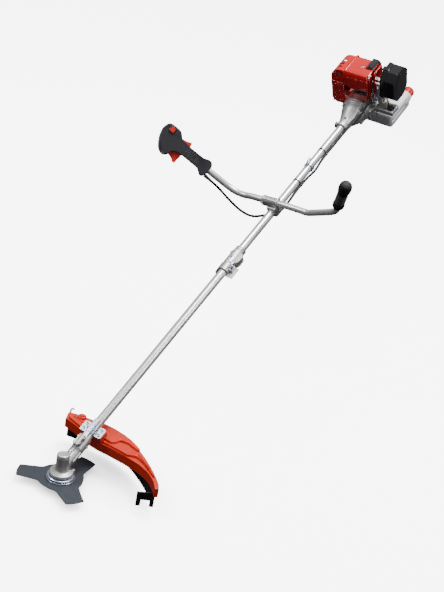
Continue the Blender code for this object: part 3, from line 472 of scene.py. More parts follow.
def sleeve(outer, inner, low, high, sides=72, soft=0.0):
    return lathe([(outer, high), (outer, low), (inner, low), (inner, high)], sides, soft)


def rod(radius, low, high, sides=48, soft=0.0):
    return lathe([(0, high), (radius, high), (radius, low), (0, low)], sides, soft)


def prism(outline, low, high):
    """An outline of (x, y) points raised from low to high along local Z."""
    mesh = bmesh.new()
    bottom = [mesh.verts.new((p[0], p[1], low)) for p in outline]
    top = [mesh.verts.new((p[0], p[1], high)) for p in outline]
    mesh.faces.new(bottom)
    mesh.faces.new(top)
    bridge(mesh, bottom, top)
    return mesh


def roll_rim(mesh, height, width, segments=4):
    """Rounds the edges of a prism that lie at one height."""
    edges = [e for e in mesh.edges if all(abs(v.co.z - height) < 1e-6 for v in e.verts)]
    bmesh.ops.bevel(mesh, geom=edges, offset=width, segments=segments, profile=0.5, affect="EDGES",
                    clamp_overlap=True)
    return mesh


def block(low, high, soft=0.0, segments=3):
    """A box between two corners, with its edges rounded."""
    mesh = bmesh.new()
    bmesh.ops.create_cube(mesh, size=1)
    size = [b - a for a, b in zip(low, high)]
    centre = [(a + b) / 2 for a, b in zip(low, high)]
    bmesh.ops.transform(mesh, matrix=Matrix.Translation(centre) @ Matrix.Diagonal((*size, 1)),
                        verts=mesh.verts)
    if soft:
        bmesh.ops.bevel(mesh, geom=mesh.edges[:], offset=soft, segments=segments, profile=0.5,
                        affect="EDGES")
    return mesh


def moved(mesh, offset):
    bmesh.ops.translate(mesh, vec=offset, verts=mesh.verts)
    return mesh


# ---------------------------------------------------------------- pieces

def object_from(name, mesh, carrier):
    """An object at the origin whose mesh lies where the carrier's axes put it."""
    mesh.transform(carrier)
    bmesh.ops.recalc_face_normals(mesh, faces=mesh.faces)
    data = bpy.data.meshes.new(name)
    mesh.to_mesh(data)
    mesh.free()
    made = bpy.data.objects.new(name, data)
    bpy.context.scene.collection.objects.link(made)
    return made


def evaluated_mesh(piece):
    graph = bpy.context.evaluated_depsgraph_get()
    graph.update()
    return bpy.data.meshes.new_from_object(piece.evaluated_get(graph), depsgraph=graph)


class Piece:
    """A solid under construction: shapes are cut from it and united with it, then it is finished and mounted."""

    def __init__(self, name, mesh, carrier=SHAFT, turn=Matrix()):
        self.carrier = carrier
        self.body = object_from(name, mesh, carrier @ turn)
        self.helpers = []

    def _combine(self, mesh, operation, turn):
        helper = object_from(f"{self.body.name}_tool", mesh, self.carrier @ turn)
        helper.hide_render = True
        step = self.body.modifiers.new(operation.title(), "BOOLEAN")
        step.operation = operation
        step.object = helper
        step.solver = "EXACT"
        self.helpers.append(helper)
        return self

    def cut(self, mesh, turn=Matrix()):
        return self._combine(mesh, "DIFFERENCE", turn)

    def unite(self, mesh, turn=Matrix()):
        return self._combine(mesh, "UNION", turn)

    def soften(self, width, segments=2, angle=32):
        step = self.body.modifiers.new("Soften", "BEVEL")
        step.width = width
        step.segments = segments
        step.limit_method = "ANGLE"
        step.angle_limit = math.radians(angle)
        step.miter_outer = "MITER_ARC"
        step.use_clamp_overlap = True
        return self

    def mount(self, body, finish, *nodes, slot=None, sharp=38):
        """Bakes the modifiers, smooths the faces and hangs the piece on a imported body."""
        data = evaluated_mesh(self.body)
        self.body.modifiers.clear()
        self.body.data = data
        for helper in self.helpers:
            bpy.data.objects.remove(helper)
        return mount(self.body, body, finish, *nodes, slot=slot, sharp=sharp)


def mount(piece, body, finish, *nodes, slot=None, sharp=38):
    data = piece.data
    data.shade_smooth()
    data.set_sharp_from_angle(angle=math.radians(sharp))
    weigh = piece.modifiers.new("Weigh", "WEIGHTED_NORMAL")
    weigh.keep_sharp = True
    piece.data = evaluated_mesh(piece)
    piece.modifiers.clear()
    piece.data.materials.clear()
    piece.data.materials.append(FINISHES[finish])
    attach(piece, body)
    if nodes:
        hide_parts(*nodes)
    return piece


# ---------------------------------------------------------------- geometry trees

class Grower:
    """A geometry tree with named inputs, run on a shape and kept as a plain mesh."""

    KINDS = {"Shape": "NodeSocketObject", "Finish": "NodeSocketMaterial", "Count": "NodeSocketInt",
             "Rows": "NodeSocketInt", "Sides": "NodeSocketInt"}

    def __init__(self, name, inputs):
        self.tree = bpy.data.node_groups.new(name, "GeometryNodeTree")
        self.tree.interface.new_socket("Geometry", in_out="OUTPUT", socket_type="NodeSocketGeometry")
        self.tree.interface.new_socket("Geometry", in_out="INPUT", socket_type="NodeSocketGeometry")
        self.names = {}
        for label in [*inputs, "Finish"]:
            kind = self.KINDS.get(label, "NodeSocketFloat")
            made = self.tree.interface.new_socket(label, in_out="INPUT", socket_type=kind)
            self.names[label] = made.identifier
        self.net = Net(self.tree)
        self.source = self.tree.nodes.new("NodeGroupInput")

    def given(self, label):
        return Wire(self.net, self.source.outputs[label])

    def copies(self, points, turn=None, scale=None):
        shape = self.net.add("GeometryNodeObjectInfo", {}, {"Object": self.given("Shape")}, "Geometry")
        sockets = {"Points": points, "Instance": shape}
        if turn:
            sockets["Rotation"] = turn
        if scale:
            sockets["Scale"] = scale
        return self.net.add("GeometryNodeInstanceOnPoints", {}, sockets)

    def close(self, geometry):
        real = self.net.add("GeometryNodeRealizeInstances", {}, {"Geometry": geometry})
        painted = self.net.add("GeometryNodeSetMaterial", {},
                               {"Geometry": real, "Material": self.given("Finish")})
        self.net.add("NodeGroupOutput", {}, {"Geometry": painted})
        return self

    def run(self, name, data, carrier, finish, **values):
        holder = bpy.data.objects.new(name, data)
        bpy.context.scene.collection.objects.link(holder)
        step = holder.modifiers.new("Grow", "NODES")
        step.node_group = self.tree
        shape = values.get("Shape")
        for label, value in {**values, "Finish": FINISHES[finish]}.items():
            step[self.names[label]] = value
        grown = evaluated_mesh(holder)
        holder.modifiers.clear()
        grown.transform(carrier)
        holder.data = grown
        if shape:
            bpy.data.objects.remove(shape)
        return holder


def ring_grower():
    """Copies of a shape round the local Z axis, each turned to face outwards."""
    made = Grower("round_the_axis", ["Shape", "Count", "Radius"])
    circle = made.net.add("GeometryNodeMeshCircle", {}, {"Vertices": made.given("Count"),
                                                         "Radius": made.given("Radius")})
    turn = made.net.add("GeometryNodeInputIndex") * (2 * math.pi) / made.given("Count")
    spin = made.net.add("ShaderNodeCombineXYZ", {}, {"Z": turn})
    return made.close(made.copies(circle, spin))


def grid_grower():
    """Copies of a shape over the local XY plane, alternate rows shifted by half a pitch."""
    made = Grower("staggered_rows", ["Shape", "Count", "Rows", "Width", "Depth"])
    sheet = made.net.add("GeometryNodeMeshGrid", {},
                         {"Size X": made.given("Width"), "Size Y": made.given("Depth"),
                                                      "Vertices X": made.given("Count"),
                                                      "Vertices Y": made.given("Rows")})
    odd = made.net.add("GeometryNodeInputIndex") % made.given("Rows") % 2.0
    shift = odd * (made.given("Width") / (made.given("Count") - 1.0) * 0.5)
    offset = made.net.add("ShaderNodeCombineXYZ", {}, {"X": shift})
    placed = made.net.add("GeometryNodeSetPosition", {}, {"Geometry": sheet, "Offset": offset})
    return made.close(made.copies(placed))


def mark_grower():
    """A shape at each point given, turned so that its Z follows the point's facing and grown by its size."""
    made = Grower("at_the_marks", ["Shape"])
    points = Wire(made.net, made.source.outputs["Geometry"])
    facing = made.net.add("GeometryNodeInputNamedAttribute", {"data_type": "FLOAT_VECTOR"},
                          {"Name": "facing"})
    size = made.net.add("GeometryNodeInputNamedAttribute", {"data_type": "FLOAT"}, {"Name": "size"})
    turn = made.net.add("FunctionNodeAlignRotationToVector", {"axis": "Z"}, {"Vector": facing})
    scale = made.net.add("ShaderNodeCombineXYZ", {}, {"X": size, "Y": size, "Z": size})
    return made.close(made.copies(points, turn, scale))


def pipe_grower():
    """A round bar along a line of points, as thick at each as its girth says."""
    made = Grower("along_the_line", ["Radius", "Sides"])
    line = made.net.add("GeometryNodeMeshToCurve", {},
                        {"Mesh": Wire(made.net, made.source.outputs["Geometry"])})
    girth = made.net.add("GeometryNodeInputNamedAttribute", {"data_type": "FLOAT"}, {"Name": "girth"})
    thick = made.net.add("GeometryNodeSetCurveRadius", {}, {"Curve": line, "Radius": girth})
    ring = made.net.add("GeometryNodeCurvePrimitiveCircle", {}, {"Resolution": made.given("Sides"),
                                                                 "Radius": made.given("Radius")})
    bar = made.net.add("GeometryNodeCurveToMesh", {},
                       {"Curve": thick, "Profile Curve": ring, "Scale": girth,
                                                       "Fill Caps": True})
    return made.close(bar)


RING = ring_grower()
GRID = grid_grower()
MARKS = mark_grower()
PIPE = pipe_grower()


def shape(mesh):
    """A small object for a tree to copy."""
    return object_from("pattern", mesh, Matrix())


def pipe(name, path, radius, carrier, body, finish, *nodes, sides=32, girth=None, closed=False, slot=None):
    """A round bar along a path; girth gives its thickness at each point as a share of the radius."""
    data = bpy.data.meshes.new(name)
    edges = [(i, i + 1) for i in range(len(path) - 1)]
    if closed:
        edges.append((len(path) - 1, 0))
    data.from_pydata([tuple(p) for p in path], edges, [])
    thick = data.attributes.new("girth", "FLOAT", "POINT")
    thick.data.foreach_set("value", girth or [1.0] * len(path))
    made = PIPE.run(name, data, carrier, finish, Radius=radius, Sides=sides)
    return mount(made, body, finish, *nodes, slot=slot, sharp=50)


def screw_head(radius=1.0, height=0.7, recess=0.62):
    """A cap screw of unit radius: a rolled rim round a six-sided socket."""
    mesh = bmesh.new()
    rim = [(radius, 0), (radius, height * 0.8), (radius * 0.93, height * 0.95), (radius * 0.85, height)]
    rings = []
    for reach_out, up in rim:
        rings.append([mesh.verts.new((reach_out * math.cos(a), reach_out * math.sin(a), up))
                      for a in (math.pi * i / 12 for i in range(24))])
    for up in (height, height * 0.25):
        ring = []
        for i in range(24):
            a = math.pi * i / 12
            flat = recess * math.cos(math.pi / 6) / math.cos(a % (math.pi / 3) - math.pi / 6)
            ring.append(mesh.verts.new((flat * math.cos(a), flat * math.sin(a), up)))
        rings.append(ring)
    for first, second in zip(rings, rings[1:]):
        bridge(mesh, first, second)
    mesh.faces.new(rings[-1])
    mesh.faces.new(rings[0])
    return mesh


def hex_head():
    """A hexagon bolt head of unit radius on a washer, with the thread's end above it."""
    mesh = rod(1.35, 0, 0.14, 24, 0.04)
    spare = bpy.data.meshes.new("spare")
    for other in (moved(prism([(math.cos(math.pi * k / 3), math.sin(math.pi * k / 3)) for k in range(6)],
                              0.141, 0.85), (0, 0, 0)),
                  rod(0.5, 0.851, 1.15, 16, 0.08)):
        bmesh.ops.recalc_face_normals(other, faces=other.faces)
        other.to_mesh(spare)
        other.free()
        mesh.from_mesh(spare)
    bpy.data.meshes.remove(spare)
    return mesh


def fasten(name, head, marks, body, finish, carrier=SHAFT, slot=None):
    """One kind of screw at each mark: (place, direction, size)."""
    data = bpy.data.meshes.new(name)
    data.from_pydata([tuple(place) for place, _, _ in marks], [], [])
    facing = data.attributes.new("facing", "FLOAT_VECTOR", "POINT")
    facing.data.foreach_set("vector", [c for _, direction, _ in marks for c in direction])
    size = data.attributes.new("size", "FLOAT", "POINT")
    size.data.foreach_set("value", [grow for _, _, grow in marks])
    made = MARKS.run(name, data, carrier, finish, Shape=shape(head))
    return mount(made, body, finish, slot=slot or finish)


def round_pattern(name, mesh, count, radius, carrier, body, finish, slot=None):
    made = RING.run(name, bpy.data.meshes.new(name), carrier, finish, Shape=shape(mesh), Count=count,
                    Radius=radius)
    return mount(made, body, finish, slot=slot)


def grid_pattern(name, mesh, count, rows, width, depth, carrier, body, finish, slot=None):
    made = GRID.run(name, bpy.data.meshes.new(name), carrier, finish, Shape=shape(mesh), Count=count,
                    Rows=rows,
                    Width=width, Depth=depth)
    return mount(made, body, finish, slot=slot)


# ---------------------------------------------------------------- shaft and coupler

def finish_tubes():
    for node in ("lower_tube", "upper_tube"):
        low, high = reach(node)
        outer = high.x
        inner = outer - 0.0015
        profile = [(outer, low.y), (outer, high.y), (inner, high.y), (inner, low.y)]
        Piece(f"{node}_drawn", lathe(profile, 80, 0.0005), SHAFT, ALONG).mount("frame", "silver_tube", node)


def finish_coupler():
    low, high = reach("coupler_body")
    start, end = low.y, high.y
    bore = 0.0143
    profile = [(bore, end), (0.0180, end), (0.0186, end - 0.001), (0.0186, end - 0.004),
               (0.0172, end - 0.005),
               (0.0172, end - 0.008), (0.0186, end - 0.009), (0.0186, end - 0.012), (0.0174, end - 0.013),
               (0.0174, end - 0.015), (0.0196, end - 0.018), (0.0206, end - 0.022), (0.0206, start + 0.036),
               (0.0190, start + 0.031), (0.0190, start + 0.006), (0.0196, start + 0.005), (0.0196,
                                                                                           start + 0.001),
               (0.0188, start), (bore, start)]
    hump = [(0.006, start + 0.037), (0.024, start + 0.044), (0.0285, start + 0.054),
            (0.0285, start + 0.076),
            (0.022, end - 0.023), (0.006, end - 0.016)]
    body = Piece("coupler_casting", lathe(profile, 96, 0.0006), SHAFT, ALONG)
    body.unite(roll_rim(roll_rim(prism(rounded(hump, 0.005), -0.0115, 0.0115), 0.0115, 0.003), -0.0115,
                        0.003))
    body.unite(block((0.008, start + 0.009, -0.0140), (0.0305, start + 0.031, 0.0105), 0.003))
    body.unite(moved(rod(0.0062, 0.009, 0.0118, 32, 0.0005), (0.0235, start + 0.020, 0)))
    body.cut(rod(bore, start - 0.02, end + 0.02, 96), ALONG)
    body.cut(block((0.010, start - 0.01, -0.0035), (0.040, start + 0.0345, -0.001)))
    body.cut(moved(rod(0.0036, -0.03, 0.03), (0.0235, start + 0.020, 0)))
    body.cut(moved(rod(0.0046, 0.012, 0.03), (0, start + 0.057, 0)))
    body.soften(0.0005).mount("frame", "cast_alloy", "coupler_body")

    knob = Piece("coupler_wing_knob", moved(rod(0.0031, -0.0135, 0.023, 32, 0.0004),
                                            (0.0235, start + 0.020, 0)))
    knob.unite(moved(lathe([(0, 0.0150), (0.0052, 0.0150), (0.0060, 0.0165), (0.0048, 0.0185),
                            (0.0042, 0.0215),
                            (0.0046, 0.0240), (0, 0.0240)], 40, 0.0006), (0.0235, start + 0.020, 0)))
    wings = [(-0.013, 0.0215), (0.013, 0.0215), (0.0145, 0.0265), (0.012, 0.0310), (0.004, 0.0275),
             (-0.004, 0.0275), (-0.012, 0.0310), (-0.0145, 0.0265)]
    stand = Matrix.Translation((0.0235, start + 0.020, 0)) @ axes((0, 0, 0), (0, 1, 0), (0, 0, 1))
    knob.unite(prism(rounded(wings, 0.0025), -0.0032, 0.0032), stand)
    knob.soften(0.0008).mount("knob", "zinc_steel", "coupler_knob")

    pin = lathe([(0, 0.0147), (0.0038, 0.0147), (0.0038, 0.0228), (0.0030, 0.0240), (0, 0.0245)], 32,
                0.0004)
    Piece("coupler_lock_pin", moved(pin, (0, start + 0.057, 0))).mount("pin", "zinc_steel", "coupler_pin")

    hook = [(-0.0218, start - 0.012), (-0.0205, start - 0.013), (-0.0192, start + 0.004),
            (-0.0195, start + 0.030),
            (-0.0215, start + 0.036), (-0.0235, start + 0.030), (-0.0225, start + 0.004)]
    strap = Piece("coupler_strap", prism(rounded(hook, 0.002), -0.0085, 0.0035))
    strap.soften(0.0008).mount("frame", "black_plastic", slot="black_plastic")
    foot = lathe([(0, -0.0245), (0.0050, -0.0245), (0.0058, -0.0230), (0.0058, -0.0150), (0, -0.0150)], 36,
                 0.0006)
    Piece("coupler_foot", moved(foot, (0.0205, start + 0.008, 0))).mount("frame", "black_plastic")
    stub = lathe([(0, 0.0165), (0.0042, 0.0165), (0.0042, 0.0215), (0.0034, 0.0235), (0, 0.0238)], 32,
                 0.0005)
    lean = Matrix.Translation((0, end - 0.030, 0)) @ Matrix.Rotation(math.radians(-62), 4, "Y")
    Piece("coupler_stub", stub, SHAFT, lean).mount("frame", "cast_alloy")


# ---------------------------------------------------------------- gear head and blade

def finish_gear_head():
    barrel = [(0, 0.0475), (0.0120, 0.0475), (0.0132, 0.0480), (0.0150, 0.0477), (0.0172, 0.0462),
              (0.0184, 0.0440), (0.0186, 0.0412), (0.0179, 0.0407), (0.0179, 0.0395), (0.0186, 0.0390),
              (0.0188, -0.0030), (0.0205, -0.0060), (0.0300, -0.0090), (0.0335, -0.0098), (0.0345, -0.0112),
              (0.0345, -0.0172), (0.0338, -0.0180), (0, -0.0180)]
    case = Piece("gear_head_casting", lathe(barrel, 96, 0.0008), BLADE)
    arm_turn = Matrix.Rotation(math.radians(30) - math.pi / 2, 4, "X")
    arm = [(0, 0.112), (0.0185, 0.112), (0.0192, 0.110), (0.0192, 0.070), (0.0172, 0.063), (0.0172, 0.020),
           (0.0178, 0.0), (0, 0.0)]
    case.unite(lathe(arm, 96, 0.001), arm_turn)
    up = Matrix.Rotation(math.radians(30), 4, "X")
    case.unite(block((-0.0095, 0.070, 0.012), (0.0095, 0.108, 0.0305), 0.0025), up)
    case.unite(block((-0.0035, 0.014, 0.010), (0.0035, 0.072, 0.0215), 0.0015), up)
    case.unite(block((0.0135, 0.030, -0.0045), (0.0200, 0.066, 0.0045), 0.0018), up)
    case.unite(block((-0.0200, 0.030, -0.0045), (-0.0135, 0.066, 0.0045), 0.0018), up)
    case.unite(block((0.012, 0.014, -0.0165), (0.0270, 0.0300, -0.0065), 0.002))
    case.cut(lathe([(0, 0.0405), (0.0152, 0.0405), (0.0152, -0.03), (0, -0.03)], 64))
    case.cut(lathe([(0, 0.13), (0.0143, 0.13), (0.0143, 0.048), (0.0125, 0.047), (0.0125, 0.0), (0, 0.0)],
                   64),
             arm_turn)
    case.cut(block((-0.0011, 0.060, 0.010), (0.0011, 0.13, 0.04)), up)
    case.cut(block((0.0165, 0.0190, -0.02), (0.0215, 0.0255, 0.0)))
    case.soften(0.0006).mount("frame", "cast_alloy", "gear_head_case")
    marks = []
    for station in (0.0795, 0.0985):
        for side in (-1, 1):
            marks.append(((side * 0.0095, station, 0.0235), (side, 0, 0), 0.0046))
    marks.append(((0, 0.0500, 0.0215), (0, 0, 1), 0.0040))
    marks += [((side * 0.0192, 0.090, -0.004), (side, 0, 0), 0.0036) for side in (-1, 1)]
    fasten("gear_head_screws", screw_head(), marks, "frame", "zinc_steel")
    low, high = reach("upper_flange", BLADE)
    rings = [(0.0048, high.z), (0.0150, high.z), (0.0385, -0.0208), (0.0405, -0.0222), (0.0407, -0.0238),
             (0.0395, -0.0250), (0.0345, -0.0254), (0.0335, -0.0264), (0.0345, -0.0274), (0.0415, -0.0280),
             (0.0425, -0.0292), (0.0425, -0.0310), (0.0415, low.z), (0.0048, low.z)]
    Piece("blade_drive_rings", lathe(rings, 112, 0.0005), BLADE).mount("blade_rotor", "zinc_steel",
                                                                       "upper_flange")
    low, high = reach("lower_flange", BLADE)
    disc = sleeve(0.0300, 0.0048, low.z, high.z, 96, 0.0006)
    Piece("blade_washer", disc, BLADE).mount("blade_rotor", "zinc_steel", "lower_flange")
    low, high = reach("stabiliser_cup", BLADE)
    cup = [(0.0295, high.z), (0.0325, high.z), (0.0337, high.z - 0.004), (0.0335, high.z - 0.0065),
           (0.0318, high.z - 0.0120), (0.0288, high.z - 0.0178), (0.0268, low.z), (0.0120, low.z),
           (0.0110, low.z + 0.0012), (0, low.z + 0.0012), (0, low.z + 0.0028), (0.0250, low.z + 0.0030),
           (0.0295, high.z - 0.0110), (0.0312, high.z - 0.0060)]
    Piece("glide_cup", lathe(cup, 96, 0.0010), BLADE).mount("blade_rotor", "black_plastic",
                                                            "stabiliser_cup")


def finish_blade():
    low, high = reach("blade", BLADE)
    outline = []
    sizes = []
    for k in range(3):
        turn = math.radians(88.8) + k * 2 * math.pi / 3
        tooth = [(0.0675, -46, 0.02), (0.068, -31, 0.010), (0.0925, -19.8, 0.03), (0.1267, -12, 0.001),
                 (0.1277, -4, 0.02), (0.1277, 5, 0.02), (0.1267, 12.5, 0.001), (0.107, 15.6, 0.03),
                 (0.072, 27.5, 0.004), (0.068, 31, 0.006), (0.0675, 46, 0.02)]
        for radius, angle, size in tooth:
            at = turn + math.radians(angle)
            outline.append((radius * math.cos(at), radius * math.sin(at)))
            sizes.append(size)
    plate = roll_rim(prism(rounded(outline, sizes, 6), low.z, high.z), high.z, 0.0005, 2)
    blade = Piece("cutting_blade", plate, BLADE)
    blade.cut(rod(0.0048, low.z - 0.01, high.z + 0.01))
    blade.mount("blade_rotor", "blade_steel", "blade", sharp=30)


# ---------------------------------------------------------------- guard

# The hood's plan about the blade axis, clockwise: its outer edge from left to right, then the one by the blade
HOOD_OUTER = [(-0.142, 0.189), (-0.105, 0.198), (-0.067, 0.205), (-0.020, 0.211), (0.025, 0.212),
              (0.062, 0.208),
              (0.095, 0.200), (0.126, 0.188), (0.160, 0.170), (0.195, 0.149), (0.225, 0.128), (0.252,
                                                                                               0.107),
              (0.271, 0.090), (0.284, 0.074)]
HOOD_INNER = [(0.277, 0.064), (0.253, 0.089), (0.219, 0.111), (0.178, 0.125), (0.137, 0.129),
              (0.103, 0.130),
              (0.060, 0.130), (0.020, 0.129), (-0.020, 0.133), (-0.074, 0.147), (-0.126, 0.157)]


def hood_plan():
    sides = [smooth_path([(x, y, 0) for x, y in side], 3) for side in (HOOD_OUTER, HOOD_INNER)]
    return [(p.x, p.y) for side in sides for p in side]


def finish_guard():
    base = reach("guard_shell", BLADE)[0].z
    ledge = 0.0410
    shell = Piece("guard_hood", roll_rim(prism(hood_plan(), base, ledge), ledge, 0.003), BLADE)
    middle = [(-0.131, 0.184), (-0.117, 0.162), (-0.074, 0.151), (-0.020, 0.138), (0.020, 0.1335),
              (0.060, 0.1340),
              (0.108, 0.1335), (0.126, 0.1325), (0.142, 0.1430), (0.152, 0.1465), (0.178, 0.1385), (0.215,
                                                                                                    0.1200),
              (0.240, 0.1055), (0.2450, 0.1065), (0.225, 0.1230), (0.195, 0.1440), (0.160, 0.1650),
              (0.126, 0.1830), (0.095, 0.1950), (0.062, 0.2030), (0.025, 0.2070), (-0.020, 0.2060),
              (-0.067, 0.2000), (-0.105, 0.1930)]
    shell.unite(roll_rim(prism(rounded(middle, 0.004), 0.030, 0.0475), 0.0475, 0.002))
    terrace = [(0.022, 0.147), (0.040, 0.1420), (0.062, 0.1410), (0.070, 0.1550), (0.072, 0.1710),
               (0.098, 0.1755),
               (0.138, 0.1660), (0.144, 0.1725), (0.126, 0.1815), (0.095, 0.1935), (0.062, 0.2015),
               (0.025, 0.2055), (-0.036, 0.2035), (-0.036, 0.150)]
    shell.unite(roll_rim(prism(rounded(terrace, 0.005), 0.030, 0.0540), 0.0540, 0.0025))
    saddle = [(-0.045, 0.143), (0.045, 0.143), (0.045, 0.200), (-0.045, 0.200)]
    shell.unite(roll_rim(prism(rounded(saddle, 0.008), 0.030, 0.0535), 0.0535, 0.003))
    shell.unite(moved(rod(0.013, 0.030, 0.0550, 48, 0.002), (-0.087, 0.186, 0)))
    shell.unite(moved(rod(0.007, 0.050, 0.0580, 32, 0.001), (-0.087, 0.186, 0)))
    for first, second in (((-0.110, 0.176), (-0.050, 0.166)), ((0.150, 0.1560), (0.215, 0.1240))):
        aim = Vector((second[0] - first[0], second[1] - first[1], 0))
        ridge = block((0, -0.0025, 0.040), (aim.length, 0.0025, 0.0505), 0.0015)
        bmesh.ops.rotate(ridge, verts=ridge.verts, matrix=aim.to_track_quat("X", "Z").to_matrix())
        shell.unite(moved(ridge, (*first, 0)))
    start, end = (corner.y for corner in reach("guard_bracket"))
    tilt = BLADE.inverted() @ SHAFT
    shell.unite(block((-0.036, start + 0.001, -0.026), (0.036, end - 0.001, -0.0052), 0.003), tilt)
    shell.cut(rod(0.0146, start - 0.03, end + 0.03, 80), tilt @ ALONG)
    room = inset(hood_plan(), 0.003)
    shell.cut(prism([(p.x, p.y) for p in room], base - 0.01, ledge - 0.003))
    shell.cut(block((-0.042, 0.146, 0.02), (0.042, 0.197, 0.0422)))
    shell.soften(0.0007, 2, 40).mount("frame", "guard_red", "guard_shell")

    hook = smooth_path([(-0.1340, 0.1870, 0.036), (-0.1340, 0.1885, 0.045), (-0.1345, 0.1920, 0.052),
                        (-0.1310, 0.1960, 0.055), (-0.1270, 0.1970, 0.052)], 4)
    pipe("guard_hook", hook, 0.0032, BLADE, "frame", "tank_plastic", sides=16)

    drop = reach("guard_skirt", BLADE)[0].z
    hood = HOOD_OUTER + HOOD_INNER
    sides = [inset(hood, wall)[:len(HOOD_OUTER) - 1] for wall in (0.0045, 0.0075)]
    outer, inner = [smooth_path([(p.x, p.y, 0) for p in side], 3) for side in sides]
    wall = [(p.x, p.y) for p in [*outer, *reversed(inner)]]
    skirt = Piece("guard_curtain", prism(wall, drop, ledge - 0.0032), BLADE)
    end = [(0.2672, 0.0860), (0.2262, 0.0565), (0.2247, 0.0586), (0.2637, 0.0886)]
    skirt.unite(prism(end, drop, 0.009))
    notch = [(0.2610, 0.0745), (0.2405, 0.0597), (0.2335, 0.0695), (0.2540, 0.0843)]
    skirt.cut(prism(rounded(notch, 0.001), drop - 0.01, drop + 0.021))
    skirt.soften(0.0008).mount("frame", "black_plastic", "guard_skirt")


def finish_bracket():
    low, high = reach("guard_bracket_cap")
    front, back = low.y, high.y
    bore = 0.0143
    cap = Piece("bracket_strap", sleeve(bore + 0.0026, bore, front, back, 80), SHAFT, ALONG)
    ears = [(-0.038, front), (0.038, front), (0.038, back), (-0.038, back)]
    cap.unite(prism(rounded(ears, 0.006), -0.002, 0.0026))
    cap.unite(block((-0.0065, front - 0.001, 0.0150), (0.0065, back + 0.001, 0.0185), 0.001))
    cap.cut(block((-0.05, front - 0.01, -0.03), (0.05, back + 0.01, 0.0003)))
    cap.cut(rod(bore, front - 0.01, back + 0.01, 80), ALONG)
    cap.soften(0.0006).mount("frame", "zinc_steel", "guard_bracket_cap")
    saddle = Piece("bracket_saddle", prism(rounded(ears, 0.006), -0.0050, -0.0003))
    saddle.cut(rod(bore, front - 0.01, back + 0.01, 80), ALONG)
    saddle.soften(0.0008).mount("frame", "zinc_steel", "guard_bracket")
    middle = (front + back) / 2
    marks = []
    for side in (-1, 1):
        for shift in (-0.0085, 0.0085):
            marks.append(((side * 0.0270, middle + shift, 0.0026), (0, 0, 1), 0.0044))
    fasten("bracket_screws", screw_head(1.0, 0.6, 0.68), marks, "frame", "bare_steel", slot="bare_steel")
    marks = [((side * 0.0105, middle - 0.006, 0.0148), (side * 0.45, 0, 1), 0.0032) for side in (-1, 1)]
    fasten("bracket_bolts", hex_head(), marks, "frame", "zinc_steel")
    channel = [(-0.0085, 0.0126), (-0.0085, 0.0178), (-0.0065, 0.0178), (-0.0060, 0.0163), (0.0060, 0.0163),
               (0.0065, 0.0178), (0.0085, 0.0178), (0.0085, 0.0126)]
    rail = Piece("guard_channel", prism([(x, -u) for x, u in channel], 0.1125, 0.176), SHAFT, ALONG)
    rail.cut(rod(0.0141, 0.09, 0.20, 80), ALONG)
    rail.soften(0.0005).mount("frame", "zinc_steel")


# ---------------------------------------------------------------- handlebar and grips

def bar_line(side):
    """The bar's centre line on one side of the clamp, outwards."""
    if side > 0:
        return [(0.045, 0.0, 0.030), (0.109, 0.0, 0.0265), (0.134, 0.0, 0.025), (0.158, -0.001, 0.033),
                (0.206, -0.006, 0.0545), (0.244, -0.010, 0.0725), (0.262, -0.012, 0.0865),
                (0.274, -0.014, 0.108), (0.3145, -0.016, 0.193)]
    return [(-0.045, 0.0, 0.030), (-0.088, 0.0, 0.030), (-0.117, -0.001, 0.0285), (-0.147, -0.003, 0.0356),
            (-0.170, -0.004, 0.0485), (-0.192, -0.006, 0.0680), (-0.2145, -0.009, 0.0900), HANDLE_BASE]


